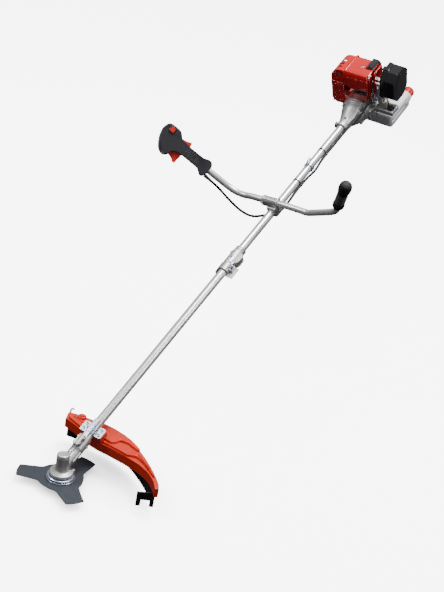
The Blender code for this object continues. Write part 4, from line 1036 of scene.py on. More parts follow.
def finish_handlebar():
    left = bar_line(1)
    right = [*bar_line(-1), HANDLE_BASE + HANDLE_AXIS * 0.078]
    path = smooth_path([*reversed(right), *left], 8)
    pipe("bent_bar", path, 0.011, BAR, "frame", "silver_tube", "handlebar", sides=56)

    low, high = reach("handlebar_clamp_lower", BAR)
    height = 0.030
    lower = Piece("bar_clamp_foot", block((low.x, -0.013, 0.0155), (high.x, 0.013, height - 0.0003), 0.002),
                  BAR)
    lower.unite(block((-0.020, -0.020, -0.018), (0.020, 0.020, 0.018), 0.006))
    lower.unite(block((-0.024, -0.008, -0.004), (0.024, 0.008, 0.016), 0.003))
    lower.cut(rod(0.0143, -0.05, 0.05, 80), ALONG)
    lower.cut(rod(0.0113, -0.06, 0.06, 64), Matrix.Translation((0, 0, height)) @ ACROSS)
    lower.cut(block((-0.03, -0.03, -0.0010), (0.03, 0.03, 0.0002)))
    lower.soften(0.0007).mount("frame", "cast_alloy", "handlebar_clamp_lower")
    low, high = reach("handlebar_clamp_upper", BAR)
    rim = [(0.0113, low.x), (0.0163, low.x), (0.0170, low.x + 0.001), (0.0170, low.x + 0.005),
           (0.0150, low.x + 0.007), (0.0150, high.x - 0.007), (0.0170, high.x - 0.005), (0.0170,
                                                                                         high.x - 0.001),
           (0.0163, high.x), (0.0113, high.x)]
    over = Matrix.Translation((0, 0, height)) @ ACROSS
    upper = Piece("bar_clamp_cap", lathe(rim, 80, 0.0006), BAR, over)
    for across in (-0.0075, 0.0, 0.0075):
        upper.unite(block((low.x + 0.006, across - 0.0011, height + 0.009),
                          (high.x - 0.006, across + 0.0011, height + 0.0158), 0.0008))
    upper.cut(block((-0.06, -0.03, -0.03), (0.06, 0.03, height + 0.0003)))
    upper.cut(rod(0.0112, -0.06, 0.06, 64), over)
    upper.soften(0.0005).mount("frame", "cast_alloy", "handlebar_clamp_upper")
    fasten("bar_clamp_bolts", hex_head(), [((low.x + 0.004, -0.0145, height + 0.001), (0, -0.25, 1),
                                            0.0042),
                                           ((low.x + 0.004, 0.0150, height + 0.002), (0, 0.25, 1), 0.0042),
                                           ((high.x - 0.003, -0.0150, height - 0.002), (0.2, -1, 0.1),
                                            0.0042),
                                           ((0.0215, -0.006, 0.004), (1, -0.3, 0), 0.0042)],
           "frame", "zinc_steel", BAR)

    base = Vector(left[-2])
    along = (Vector(left[-1]) - base).normalized()
    mounted = Matrix.Translation(base) @ along.to_track_quat("Z", "Y").to_matrix().to_4x4()
    bulb = [(0, 0.1262), (0.0085, 0.1255), (0.0150, 0.1225), (0.0192, 0.1165), (0.0210, 0.1075),
            (0.0211, 0.0985),
            (0.0200, 0.0885), (0.0178, 0.0800), (0.0165, 0.0745), (0.0165, 0.0260), (0.0180, 0.0220),
            (0.0192, 0.0190), (0.0192, 0.0070), (0.0180, 0.0035), (0.0165, 0.0), (0.0113, 0.0), (0.0113,
                                                                                                 0.100),
            (0, 0.100)]
    Piece("grip_bulb", lathe(bulb, 80, 0.0012), BAR, mounted).mount("frame", "black_rubber", "left_grip")
    band = sleeve(0.0171, 0.0164, 0.0285, 0.0725, 80, 0.0003)
    Piece("grip_band", band, BAR, mounted).mount("frame", "grip_grey", slot="black_rubber")
    rib = lathe([(0.0168, -0.0010), (0.0179, -0.0005), (0.0179, 0.0005), (0.0168, 0.0010)], 64, 0.0003)
    marks = [(base + along * (0.0312 + k * 0.0035), along, 1.0) for k in range(12)]
    fasten("grip_ribs", rib, marks, "frame", "grip_grey", BAR, slot="black_rubber")


# Side view of the control handle: x along the grip from its socket, y towards the palm
HANDLE_SIDE = [(0, -0.014), (0, 0.016), (0.006, 0.027), (0.020, 0.029), (0.030, 0.024), (0.038, 0.0205),
               (0.100, 0.0195), (0.128, 0.022), (0.141, 0.028), (0.153, 0.042), (0.192, 0.043), (0.206,
                                                                                                 0.036),
               (0.212, 0.010), (0.205, -0.015), (0.193, -0.037), (0.178, -0.055), (0.163, -0.060),
               (0.150, -0.055), (0.141, -0.038), (0.134, -0.022), (0.104, -0.018), (0.040, -0.0175),
               (0.030, -0.022), (0.020, -0.0315), (0.009, -0.031)]


def finish_control_handle():
    outer = reach("control_handle_front", HANDLE)[0].z
    hollow = abs(outer) - 0.0025
    outline = rounded(HANDLE_SIDE, 0.009, 4)
    room = rounded(inset(HANDLE_SIDE, 0.0025), 0.005, 4)
    for node, start, end in (("control_handle_front", outer, -0.0002),
                             ("control_handle_rear", 0.0002, -outer)):
        rim = start if start < -0.01 else end
        half = Piece(f"{node}_shell", roll_rim(prism(outline, start, end), rim, 0.0055, 5), HANDLE)
        half.cut(prism(room, -hollow, hollow))
        half.cut(rod(0.0113, -0.01, 0.088, 64), ACROSS)
        half.cut(block((0.103, -0.07, -0.0075), (0.152, -0.010, 0.0075)))
        half.cut(block((0.097, 0.010, -0.0060), (0.136, 0.050, 0.0060)))
        half.cut(rod(0.0041, -0.02, 0.012, 32), Matrix.Translation((0, -0.021, 0)) @ ACROSS)
        if rim < 0:
            half.cut(block((0.1705, 0.0180, -0.03), (0.1905, 0.0360, -0.010)))
            half.cut(moved(rod(0.0048, outer - 0.001, outer + 0.004, 32), (0.0130, 0.0185, 0)))
            half.cut(moved(rod(0.0040, outer - 0.001, outer + 0.004, 32), (0.1560, -0.0470, 0)))
        half.soften(0.0006).mount("frame", "handle_black", node)
    floor = outer + 0.004
    fasten("handle_screws", screw_head(1.0, 0.5, 0.55), [((0.0130, 0.0185, floor), (0, 0, -1), 0.0040),
                                                        ((0.1560, -0.0470, floor), (0, 0, -1), 0.0033)],
           "frame", "bare_steel", HANDLE)
    # A pale grey strip just inside the head's rounded edge: a painted highlight standing in for the light on that
    # edge
    head = [(0.1565, 0.0385), (0.1905, 0.0395), (0.2030, 0.0335), (0.2085, 0.0100), (0.2015, -0.0140),
            (0.1900, -0.0350), (0.1755, -0.0522), (0.1640, -0.0560), (0.1535, -0.0520)]
    highlight_line = [(x, y, outer + 0.0009) for x, y in rounded(head, 0.010, 5, closed=False)]
    pipe("head_trim", highlight_line, 0.0010, HANDLE, "frame", "trim_grey", sides=12, slot="handle_black")
    frame_ring = Piece("switch_frame", block((0.1685, 0.0160, outer - 0.0012),
                                             (0.1925, 0.0380, outer + 0.003),
                                             0.0010), HANDLE)
    frame_ring.cut(block((0.1708, 0.0183, -0.03), (0.1902, 0.0357, 0.0)))
    frame_ring.soften(0.0004).mount("frame", "gloss_black")
    dot = lathe([(0, 0.0004), (0.0005, 0.0003), (0.0008, 0), (0, -0.0002)], 8)
    panel = HANDLE @ Matrix.Translation((0.070, 0.0, outer)) @ Matrix.Rotation(math.pi, 4, "X")
    grid_pattern("grip_grain", dot, 27, 10, 0.056, 0.020, panel, "frame", "handle_black")

    trigger = [(0.1490, -0.0200), (0.1500, -0.0400), (0.1440, -0.0445), (0.1330, -0.0465),
               (0.1230, -0.0500),
               (0.1150, -0.0560), (0.1090, -0.0570), (0.1065, -0.0520), (0.1070, -0.0400), (0.1055,
                                                                                            -0.0280),
               (0.1060, -0.0130)]
    finger = roll_rim(roll_rim(prism(rounded(trigger, 0.0035), -0.0068, 0.0068), 0.0068, 0.0028), -0.0068,
                      0.0028)
    Piece("trigger_blade", finger, HANDLE).mount("trigger", "trigger_red", "throttle_trigger")
    lever = [(0.099, 0.013), (0.100, 0.0245), (0.1015, 0.0325), (0.1045, 0.0345), (0.108, 0.0325),
             (0.120, 0.0280), (0.1335, 0.0250), (0.1345, 0.011)]
    palm = roll_rim(roll_rim(prism(rounded(lever, 0.0025), -0.0053, 0.0053), 0.0053, 0.0018), -0.0053,
                    0.0018)
    Piece("lock_off_blade", palm, HANDLE).mount("lock_off", "trigger_red", "lock_off_lever")
    rocker = [(-0.0085, 0.006), (-0.0085, -0.0052), (-0.0040, -0.0040), (0, -0.0035), (0.0040, -0.0040),
              (0.0085, -0.0052), (0.0085, 0.006)]
    seat = Matrix.Translation((0.1805, 0.027, -0.015)) @ Matrix.Rotation(-math.pi / 2, 4, "X")
    button = Piece("stop_rocker", prism(rocker, -0.0082, 0.0082), HANDLE, seat)
    for k in range(5):
        at = -0.0072 + k * 0.0021
        button.cut(block((at, -0.0100, -0.0066), (at + 0.0009, -0.0040, 0.0066)), seat)
    button.soften(0.0004).mount("switch", "trigger_red", "stop_switch")


# ---------------------------------------------------------------- cable and harness

CABLE_ROUTE = [(-0.2537, 1.1196, 0.0697), (-0.2397, 1.1194, 0.0605), (-0.2135, 1.1298, 0.0217),
               (-0.1740, 1.1300, -0.0190), (-0.1300, 1.1290, -0.0500), (-0.0850, 1.1290, -0.0560),
               (-0.0400, 1.1340, -0.0370), (0.0000, 1.1520, -0.0260), (0.0110, 1.1760, -0.0215),
               (0.0180, 1.2050, -0.0110), (0.0180, 1.2500, -0.0058), (0.0177, 1.2900, -0.0056),
               (0.0190, 1.3300, -0.0060), (0.0225, 1.3750, -0.0080), (0.0190, 1.4200, -0.0060),
               (0.0177, 1.4600, -0.0056), (0.0185, 1.5100, -0.0050), (0.0220, 1.5600, 0.0010),
               (0.0270, 1.5950, 0.0080), (0.0390, 1.6400, 0.0180), (0.0450, 1.6700, 0.0310),
               (0.0480, 1.6950, 0.0430), (0.0525, 1.7120, 0.0500), (0.0545, 1.7220, 0.0550)]
CABLE_RADIUS = 0.0045


def path_length(path):
    return sum((b - a).length for a, b in zip(path, path[1:]))


def finish_cable():
    path = smooth_path(CABLE_ROUTE, 8)
    conduit = pipe("throttle_conduit", path, CABLE_RADIUS, SHAFT, "frame", "black_rubber", "throttle_cable",
                   sides=24)
    placed = [SHAFT @ point for point in path]
    path_length(placed)
    for name, station in (("lower_tie", reach("cable_tie")[0].y + 0.002), ("upper_tie", 1.46)):
        low = station - 0.0023
        high = station + 0.0023
        tie = Piece(name, sleeve(0.0151, 0.0142, low, high, 80, 0.0003), SHAFT, ALONG)
        loop = Matrix.Translation((0.0177, 0, -0.0056)) @ ALONG
        tie.unite(sleeve(CABLE_RADIUS + 0.0012, CABLE_RADIUS + 0.0002, low, high, 48, 0.0003), loop)
        tie.unite(block((-0.0045, low - 0.001, 0.0138), (0.0020, high + 0.001, 0.0175), 0.0006))
        tie.cut(rod(0.0142, low - 0.01, high + 0.01, 80), ALONG)
        tie.cut(rod(CABLE_RADIUS + 0.0002, low - 0.01, high + 0.01, 48), loop)
        nodes = ("cable_tie",) if name == "lower_tie" else ()
        tie.mount("frame", "black_plastic", *nodes)
    wire = smooth_path([(0.0545, 1.7215, 0.0550), (0.0620, 1.7300, 0.0640), (0.0740, 1.7400, 0.0760),
                        (0.0860, 1.7500, 0.0880)], 6)
    pipe("throttle_wire", wire, 0.0011, SHAFT, "frame", "zinc_steel", sides=12)
    ferrule = lathe([(0, -0.009), (0.0044, -0.009), (0.0050, -0.008), (0.0050, -0.001), (0.0036, 0.001),
                     (0.0030, 0.008), (0, 0.008)], 32, 0.0004)
    tip = Vector(CABLE_ROUTE[-1])
    aim = (Vector((0.0590, 1.7320, 0.0660)) - tip).to_track_quat("Z", "Y").to_matrix().to_4x4()
    Piece("conduit_ferrule", ferrule, SHAFT, Matrix.Translation(tip) @ aim).mount("frame", "bare_steel")
    cuff = lathe([(0, -0.004), (0.0062, -0.004), (0.0062, 0.006), (0.0052, 0.020), (0.0044, 0.030),
                  (0, 0.030)],
                 32, 0.0006)
    start = Vector(CABLE_ROUTE[0])
    aim = (Vector(CABLE_ROUTE[1]) - start).to_track_quat("Z", "Y").to_matrix().to_4x4()
    sleeve_end = Piece("conduit_cuff", cuff, SHAFT, Matrix.Translation(start) @ aim)
    sleeve_end.mount("frame", "handle_black")


def finish_harness():
    low, high = reach("harness_clamp")
    start, end = low.y, high.y
    rim = [(0.0143, start), (0.0168, start), (0.0176, start + 0.001), (0.0176, start + 0.0025),
           (0.0168, start + 0.0035), (0.0168, end - 0.0035), (0.0176, end - 0.0025), (0.0176, end - 0.001),
           (0.0168, end), (0.0143, end)]
    band = Piece("harness_band", lathe(rim, 80, 0.0004), SHAFT, ALONG)
    band.unite(block((-0.0165, start, -0.0255), (-0.0080, end, -0.011), 0.0015))
    band.cut(rod(0.0143, start - 0.01, end + 0.01, 80), ALONG)
    band.cut(block((-0.0132, start - 0.01, -0.03), (-0.0110, end + 0.01, -0.009)))
    band.soften(0.0004).mount("frame", "zinc_steel", "harness_clamp")
    middle = (start + end) / 2
    fasten("harness_band_screw", screw_head(), [((-0.0165, middle, -0.0205), (-1, 0, 0), 0.0032)], "frame",
           "bare_steel")
    ring_height = reach("harness_eye")[1].z - 0.0105
    loop = [(0, middle + 0.0085 * math.cos(a), ring_height + 0.0085 * math.sin(a))
            for a in (math.pi * 2 * k / 40 for k in range(40))]
    pipe("harness_ring", loop, 0.0019, SHAFT, "frame", "zinc_steel", "harness_eye", sides=20, closed=True)
    stem = Piece("harness_stem", block((-0.004, middle - 0.006, 0.0172), (0.004, middle + 0.006, 0.0238),
                                       0.0012))
    stem.mount("frame", "zinc_steel")


# ---------------------------------------------------------------- clutch housing

def finish_bell():
    low, high = reach("clutch_housing")
    start, end = low.y, high.y
    bore = 0.0143
    skin = [(bore, start), (0.0190, start), (0.0208, start + 0.002), (0.0212, start + 0.004),
            (0.0212, start + 0.017), (0.0200, start + 0.0195), (0.0202, start + 0.021), (0.0218,
                                                                                         start + 0.026),
            (0.0250, start + 0.038), (0.0330, start + 0.058), (0.0405, start + 0.075), (0.0432,
                                                                                        start + 0.084),
            (0.0440, start + 0.092), (0.0485, start + 0.095), (0.0494, start + 0.097), (0.0494, end),
            (0.0410, end), (0.0410, start + 0.088), (0.0345, start + 0.0725), (0.0170, start + 0.054),
            (bore, start + 0.052)]
    bell = Piece("clutch_bell", lathe(skin, 128, 0.0012), SHAFT, ALONG)
    bell.unite(block((-0.0285, start + 0.003, -0.0095), (-0.0140, start + 0.018, 0.0095), 0.0025))
    bell.unite(moved(prism(rounded([(-0.006, 0), (0.006, 0), (0.006, 0.0135), (-0.006, 0.0135)], 0.0015),
                           0.0186, 0.0225), (0, start + 0.0245, 0)))
    for angle in (45, 135, 225, 315):
        spot = (0.0440 * math.cos(math.radians(angle)), 0.0440 * math.sin(math.radians(angle)), 0)
        bell.unite(moved(rod(0.0075, start + 0.086, end - 0.0002, 32, 0.0008), spot), ALONG)
    bell.cut(rod(bore, start - 0.01, start + 0.046, 80), ALONG)
    bell.cut(block((-0.0042, start + 0.0270, 0.010), (0.0042, start + 0.0355, 0.040), 0.0008))
    bell.cut(block((-0.0290, start - 0.002, -0.0009), (-0.010, start + 0.0195, 0.0009)))
    bell.soften(0.0005, 2, 40).mount("frame", "cast_alloy", "clutch_housing")
    marks = [((-0.0215, start + 0.0105, 0.0095), (0, 0, 1), 0.0044)]
    for angle in (45, 135, 225, 315):
        marks.append(((0.0440 * math.cos(math.radians(angle)), start + 0.086,
                       -0.0440 * math.sin(math.radians(angle))), (0, -1, 0), 0.0046))
    fasten("clutch_bell_screws", screw_head(), marks, "frame", "zinc_steel")


def finish_crankcase():
    start = reach("crankcase")[0].y
    shroud = [(0.0500, start), (0.0505, start + 0.003), (0.0505, start + 0.033), (0.0490, start + 0.0355),
              (0.0075, start + 0.0355), (0.0075, start + 0.033), (0.0462, start + 0.033), (0.0462, start)]
    case = Piece("crankcase_casting", lathe(shroud, 128, 0.0012), SHAFT, ALONG)
    case.unite(block((-0.040, start + 0.034, -0.042), (0.040, 1.797, 0.0475), 0.005))
    case.unite(block((0.036, start + 0.006, -0.030), (0.058, start + 0.0335, 0.012), 0.005))
    case.unite(block((0.040, start + 0.014, -0.016), (0.066, 1.790, -0.004), 0.002))
    case.unite(block((0.040, start + 0.014, 0.006), (0.062, 1.790, 0.016), 0.002))
    for k in range(5):
        case.unite(block((0.030, start + 0.040 + k * 0.011, -0.044),
                         (0.0545, start + 0.043 + k * 0.011, 0.044),
                         0.001))
    case.cut(rod(0.030, 1.742, 1.788, 64), ALONG)
    case.cut(rod(0.0075, 1.72, 1.81), ALONG)
    case.cut(rod(0.0460, start - 0.01, start + 0.033, 96), ALONG)
    case.cut(moved(rod(0.0207, 0.0, 0.06, 64), (0, 1.760, 0)))
    case.soften(0.0007, 2, 40).mount("frame", "cast_alloy", "crankcase")
    marks = [((0.0600, start + 0.020, 0.0), (1, 0, 0), 0.0040),
             ((0.0665, 1.756, -0.010), (1, 0, 0), 0.0036),
             ((0.0665, 1.778, -0.010), (1, 0, 0), 0.0036), ((0.0470, start, -0.018), (0, -1, 0), 0.0036)]
    fasten("crankcase_screws", screw_head(), marks, "frame", "zinc_steel")


# ---------------------------------------------------------------- covers

def finish_engine_cover():
    low, high = reach("engine_cover")
    side = [(low.y + 0.0075, low.z), (low.y + 0.0010, low.z + 0.052), (low.y, low.z + 0.060),
            (low.y + 0.0015, high.z - 0.018), (low.y + 0.0120, high.z - 0.0015), (low.y + 0.022, high.z),
            (high.y - 0.022, high.z), (high.y - 0.003, high.z - 0.010), (high.y, high.z - 0.024),
            (high.y, low.z)]
    radii = [0, 0.010, 0.010, 0.012, 0.010, 0.012, 0.012, 0.010, 0.008, 0]
    profile = [(-z, y) for y, z in rounded(side, radii, 5)]
    body = prism(profile, low.x, high.x)
    roll_rim(roll_rim(body, high.x, 0.0085, 5), low.x, 0.005, 4)
    cover = Piece("engine_shroud", body, SHAFT, ACROSS)
    smile = [(low.x - 0.01, low.z - 0.02), (high.x + 0.01, low.z - 0.02), (high.x + 0.01, low.z + 0.049),
             (0.026, low.z + 0.0455), (0.012, low.z + 0.0425), (-0.004, low.z + 0.0420), (-0.020,
                                                                                          low.z + 0.0445),
             (-0.032, low.z + 0.0490), (low.x - 0.01, low.z + 0.0540)]
    lower = [(x, -z) for x, z in rounded(smile, 0.010, 5)]
    cover.cut(prism(lower, low.y - 0.02, low.y + 0.0042), ALONG)
    cover.cut(block((low.x + 0.0025, low.y + 0.0100, 0.01),
                    (high.x - 0.0025, high.y - 0.0025, high.z - 0.0030),
                    0.004))
    cover.cut(block((-0.06, 1.735, 0.065), (0.06, 1.785, 0.115)))
    cover.cut(moved(rod(0.0062, high.z - 0.0022, high.z + 0.01, 48), (0.004, 1.753, 0)))
    cover.unite(block((high.x - 0.0005, low.y + 0.016, low.z + 0.004),
                      (high.x + 0.0035, low.y + 0.038, 0.150),
                      0.0015))
    cover.soften(0.0011, 3, 40).mount("frame", "gloss_red", "engine_cover")
    fasten("engine_shroud_screw", screw_head(1.0, 0.55, 0.5),
           [((0.004, 1.753, high.z - 0.0022), (0, 0, 1), 0.0046)],
           "frame", "zinc_steel")

    low, high = reach("plug_cover")
    corner = [(low.x, high.z - 0.0035), (high.x - 0.0115, high.z - 0.0035),
              (high.x - 0.0035, high.z - 0.0115),
              (high.x - 0.0035, low.z), (high.x, low.z), (high.x, high.z - 0.0090), (high.x - 0.0090,
                                                                                     high.z),
              (low.x, high.z)]
    cap = Piece("plug_hood", prism([(x, -u) for x, u in rounded(corner, 0.005, 5)], low.y, high.y), SHAFT,
                ALONG)
    cap.unite(block((low.x + 0.006, low.y + 0.006, high.z - 0.001),
                    (high.x - 0.012, low.y + 0.012, high.z + 0.002),
                    0.001))
    cap.soften(0.0012, 3).mount("frame", "gloss_black", "plug_cover")

    heat_plate = [(0.066, 1.737), (0.150, 1.737), (0.158, 1.747), (0.158, 1.795), (0.066, 1.795)]
    plate = Piece("intake_plate", prism([(-z, y) for z, y in rounded(heat_plate, 0.006)], 0.0535, 0.0600),
                  SHAFT,
                  ACROSS)
    plate.cut(block((0.040, 1.742, 0.050), (0.080, 1.782, 0.114)))
    plate.soften(0.0012, 3).mount("frame", "gloss_red")


def finish_muffler_cover():
    low, high = reach("muffler_cover")
    inner = high.x
    front = low.y
    bend = (-0.066, 0.111)
    curve = [(p.x, p.y) for p in arc(bend, 0.038, 90, 180, 14)]
    outline = [(inner, -0.002), (inner, 0.149), *curve, (-0.104, 0.018), (-0.094, -0.002)]
    sizes = [0, 0] + [0] * len(curve) + [0.006, 0.008]
    outline = rounded(outline, sizes)
    shell = Piece("muffler_guard", roll_rim(prism([(x, -u) for x, u in outline], front, high.y), front,
                                            0.0045),
                  SHAFT, ALONG)
    room = inset(outline, 0.0022)
    room = [(x + (0.01 if x > inner - 0.003 else 0), u) for x, u in room]
    shell.cut(prism([(x, -u) for x, u in room], front + 0.0022, high.y + 0.05), ALONG)
    for radius, start, end in ((0.0325, 92, 182), (0.0255, 88, 184), (0.0185, 84, 186)):
        slot = arc(bend, radius + 0.0021, start, end, 12) + arc(bend, radius - 0.0021, end, start, 12)
        shell.cut(prism([(p.x, -p.y) for p in slot], front - 0.01, front + 0.006), ALONG)
    for station in (0.018, 0.036, 0.054):
        slot = arc(bend, 0.045, 97, 168, 12) + arc(bend, 0.030, 168, 97, 12)
        shell.cut(prism([(p.x, -p.y) for p in slot], front + station, front + station + 0.007), ALONG)
    for height in (0.0800, 0.0905):
        shell.unite(block((-0.1048, front - 0.0024, height),
                          (inner - 0.001, front + 0.030, height + 0.0042),
                          0.0012))
    for k in range(4):
        shell.cut(block((-0.13, front + 0.020 + k * 0.017, 0.034),
                        (-0.098, front + 0.030 + k * 0.017, 0.076),
                        0.002))
    shell.soften(0.0008, 2, 40).mount("frame", "gloss_red", "muffler_cover")
    stud = lathe([(0, 0.0034), (0.0014, 0.0031), (0.0025, 0.0018), (0.0030, 0), (0, -0.0008)], 14)
    panel = SHAFT @ Matrix.Translation((-0.0770, front, 0.040)) @ Matrix.Rotation(math.pi / 2, 4, "X")
    grid_pattern("muffler_guard_studs", stud, 5, 8, 0.040, 0.072, panel, "frame", "gloss_red")
    stud = lathe([(0, 0.0034), (0.0014, 0.0031), (0.0025, 0.0018), (0.0030, 0), (0, -0.0008)], 14)
    side = SHAFT @ Matrix.Translation((-0.1036, front + 0.010, 0.042)) @ Matrix.Rotation(-math.pi / 2, 4,
                                                                                         "Y")
    grid_pattern("muffler_guard_side_studs", stud, 7, 2, 0.060, 0.009, side, "frame", "gloss_red")


# ---------------------------------------------------------------- intake

FILTER_CENTRE = (1.778, 0.111)


def filter_outline(shrink, corner=0.0025):
    station, height = FILTER_CENTRE
    across = 0.050 - shrink
    up = 0.060 - shrink
    cut = 0.025
    points = [(across - cut, up), (across, up - cut), (across, cut - up), (across - cut, -up),
              (cut - across, -up),
              (-across, cut - up), (-across, up - cut), (cut - across, up)]
    return [(-(height + b), station + a) for a, b in rounded(points, corner)]


def finish_filter():
    low, high = reach("air_filter_cover")
    shell = prism(filter_outline(0.0006), low.x, high.x)
    cover = Piece("filter_lid", roll_rim(shell, high.x, 0.0050, 4), SHAFT, ACROSS)
    cover.cut(prism(filter_outline(0.0035), low.x - 0.01, high.x - 0.0030), ACROSS)
    groove = prism(filter_outline(-0.002), low.x + 0.0150, low.x + 0.0170)
    cover.cut(groove, ACROSS)
    cover.unite(prism(filter_outline(0.0018), low.x + 0.0140, low.x + 0.0180), ACROSS)
    cover.cut(prism(filter_outline(0.0036), low.x + 0.010, low.x + 0.020), ACROSS)
    cover.unite(prism(filter_outline(0.0150, 0.006), high.x - 0.003, high.x + 0.0012), ACROSS)
    cover.soften(0.0010, 3).mount("frame", "gloss_black", "air_filter_cover")
    marks = [((low.x + 0.0220 + k * 0.0028, 1.7282, 0.111), (0, -1, 0), 1.0) for k in range(9)]
    rib = block((-0.0007, -0.030, -0.0008), (0.0007, 0.030, 0.0007), 0.0003, 1)
    fasten("filter_lid_ribs", rib, marks, "frame", "gloss_black")
    low, high = reach("air_filter_base")
    base = Piece("filter_tray", roll_rim(prism(filter_outline(-0.0012), low.x, high.x), low.x, 0.0012, 2),
                 SHAFT,
                 ACROSS)
    base.cut(rod(0.009, 0.05, 0.12), Matrix.Translation((0, 1.760, 0.088)) @ ACROSS)
    base.mount("frame", "black_plastic", "air_filter_base")
    clip = Piece("filter_clip", block((0.078, 1.756, 0.166), (0.104, 1.776, 0.174), 0.002))
    clip.soften(0.0005).mount("frame", "gloss_black")


def finish_carburettor():
    low, high = reach("carburettor")
    body = Piece("carburettor_casting", block((0.047, 1.744, 0.064), (0.0835, 1.780, 0.112), 0.004))
    body.unite(rod(0.0115, 0.0376, 0.050), Matrix.Translation((0, 1.760, 0.088)) @ ACROSS)
    body.unite(block((0.062, 1.740, 0.080), (0.080, 1.752, 0.104), 0.003))
    body.unite(block((0.064, 1.748, 0.015), (0.0835, 1.774, 0.070), 0.003))
    body.unite(moved(rod(0.008, 0.108, 0.120, 32, 0.001), (0.066, 1.762, 0)))
    body.unite(block((0.066, 1.720, 0.006), (high.x, 1.768, 0.0240), 0.003))
    body.unite(moved(rod(0.0165, 0.018, 0.0252, 48, 0.001), (0.122, 1.738, 0)))
    body.cut(moved(rod(0.0136, 0.0165, 0.03, 48), (0.122, 1.738, 0)))
    body.cut(rod(0.007, 0.02, 0.10), Matrix.Translation((0, 1.760, 0.088)) @ ACROSS)
    body.soften(0.0006, 2, 40).mount("frame", "cast_alloy", "carburettor")
    fasten("carburettor_screws", screw_head(), [((0.069, 1.740, 0.098), (0, -1, 0), 0.0030),
                                                ((0.069, 1.740, 0.086), (0, -1, 0), 0.0030),
                                                ((0.074, 1.748, 0.058), (0, -1, 0), 0.0032),
                                                ((0.074, 1.748, 0.030), (0, -1, 0), 0.0032)],
           "frame", "zinc_steel")
    low, high = reach("choke_lever")
    arm = [(0.0535, 0.0375), (0.0550, 0.0355), (0.0610, 0.0355), (0.0625, 0.0375), (0.0612, 0.0690),
           (0.0625, 0.0750), (0.0600, 0.0790), (0.0560, 0.0790), (0.0535, 0.0750), (0.0548, 0.0690)]
    lever = Piece("choke_arm", prism([(x, -u) for x, u in rounded(arm, 0.0015)], low.y, 1.7435), SHAFT,
                  ALONG)
    lever.cut(moved(rod(0.0013, low.y - 0.01, 1.76, 24), (0.058, -0.0410, 0)), ALONG)
    lever.soften(0.0005).mount("choke", "zinc_steel", "choke_lever")
    fasten("choke_screw", screw_head(), [((0.058, low.y, 0.0750), (0, -1, 0), 0.0026)], "choke",
           "bare_steel",
           slot="bare_steel")
    dome = [(0, 0.0360), (0.0035, 0.0357), (0.0070, 0.0343), (0.0100, 0.0316), (0.0115, 0.0290),
            (0.0118, 0.0268), (0.0128, 0.0262), (0.0128, 0.0243), (0, 0.0243)]
    Piece("purge_bulb", moved(lathe(dome, 56, 0.0006), (0.122, 1.738, 0))).mount("bulb", "black_rubber",
                                                                                 "primer_bulb")
    elbow = smooth_path([(0.108, 1.747, 0.024), (0.108, 1.747, 0.034), (0.106, 1.7485, 0.042),
                         (0.100, 1.752, 0.049), (0.096, 1.754, 0.056)], 5)
    pipe("fuel_elbow", elbow, 0.0032, SHAFT, "frame", "brass", sides=24, slot="bare_steel")
    collar = [(0.0044 * math.cos(math.pi * k / 3), 0.0044 * math.sin(math.pi * k / 3)) for k in range(6)]
    Piece("fuel_collar", moved(prism(collar, 0.0238, 0.0295), (0.108, 1.747, 0))).soften(0.0004).mount(
        "frame", "brass", slot="bare_steel")


# ---------------------------------------------------------------- starter and tank

def finish_starter():
    low, high = reach("starter_housing")
    start, end = low.y, high.y
    skin = [(0.0505, start), (0.0505, end - 0.010), (0.0490, end - 0.0045), (0.0440, end - 0.0005),
            (0.0380, end), (0.0360, end - 0.0012), (0.0160, end - 0.0012), (0.0145, end), (0, end),
            (0, start + 0.0195), (0.0050, start + 0.0195), (0.0050, end - 0.0028), (0.0425, end - 0.0028),
            (0.0470, end - 0.009), (0.0470, start)]
    shell = Piece("starter_case", lathe(skin, 112, 0.0010), SHAFT, ALONG)
    for k in range(4):
        spot = (0.0500 * math.cos(math.radians(45 + 90 * k)), 0.0500 * math.sin(math.radians(45 + 90 * k)),
                0)
        shell.unite(moved(rod(0.0072, start, start + 0.020, 32, 0.001), spot), ALONG)
    for k in range(20):
        slot = block((0.0180, -0.0016, end - 0.006), (0.0345, 0.0016, end + 0.004))
        slot.transform(Matrix.Rotation(2 * math.pi * k / 20, 4, "Z"))
        shell.cut(slot, ALONG)
    shell.cut(rod(0.0470, start - 0.002, end - 0.009, 96), ALONG)
    shell.unite(rod(0.0050, start + 0.0195, end - 0.001, 48), ALONG)
    shell.cut(moved(rod(0.0035, 0.03, 0.06), (0.0275, 1.829, 0)))
    shell.soften(0.0005, 2, 40).mount("frame", "black_plastic", "starter_housing")
    marks = []
    for k in range(4):
        at = math.radians(45 + 90 * k)
        marks.append(((0.0510 * math.cos(at), start + 0.020, -0.0510 * math.sin(at)), (0, 1, 0), 0.0040))
    fasten("starter_case_screws", screw_head(), marks, "frame", "zinc_steel")
    grip = [(0.0045, 0.0530), (0.0045, 0.0600), (0.0110, 0.0640), (0.0200, 0.0650), (0.0350, 0.0650),
            (0.0440, 0.0640), (0.0505, 0.0600), (0.0505, 0.0530), (0.0400, 0.0515), (0.0275, 0.0510),
            (0.0150, 0.0515)]
    bar = Piece("starter_grip",
                roll_rim(roll_rim(prism([(x, -u) for x, u in rounded(grip, 0.003)], 1.8210, 1.8370),
                                                  1.8370, 0.0045), 1.8210, 0.0045), SHAFT, ALONG)
    bar.unite(moved(rod(0.0030, 0.0425, 0.054, 24), (0.0275, 1.829, 0)))
    bar.mount("starter_grip", "black_plastic", "starter_handle")


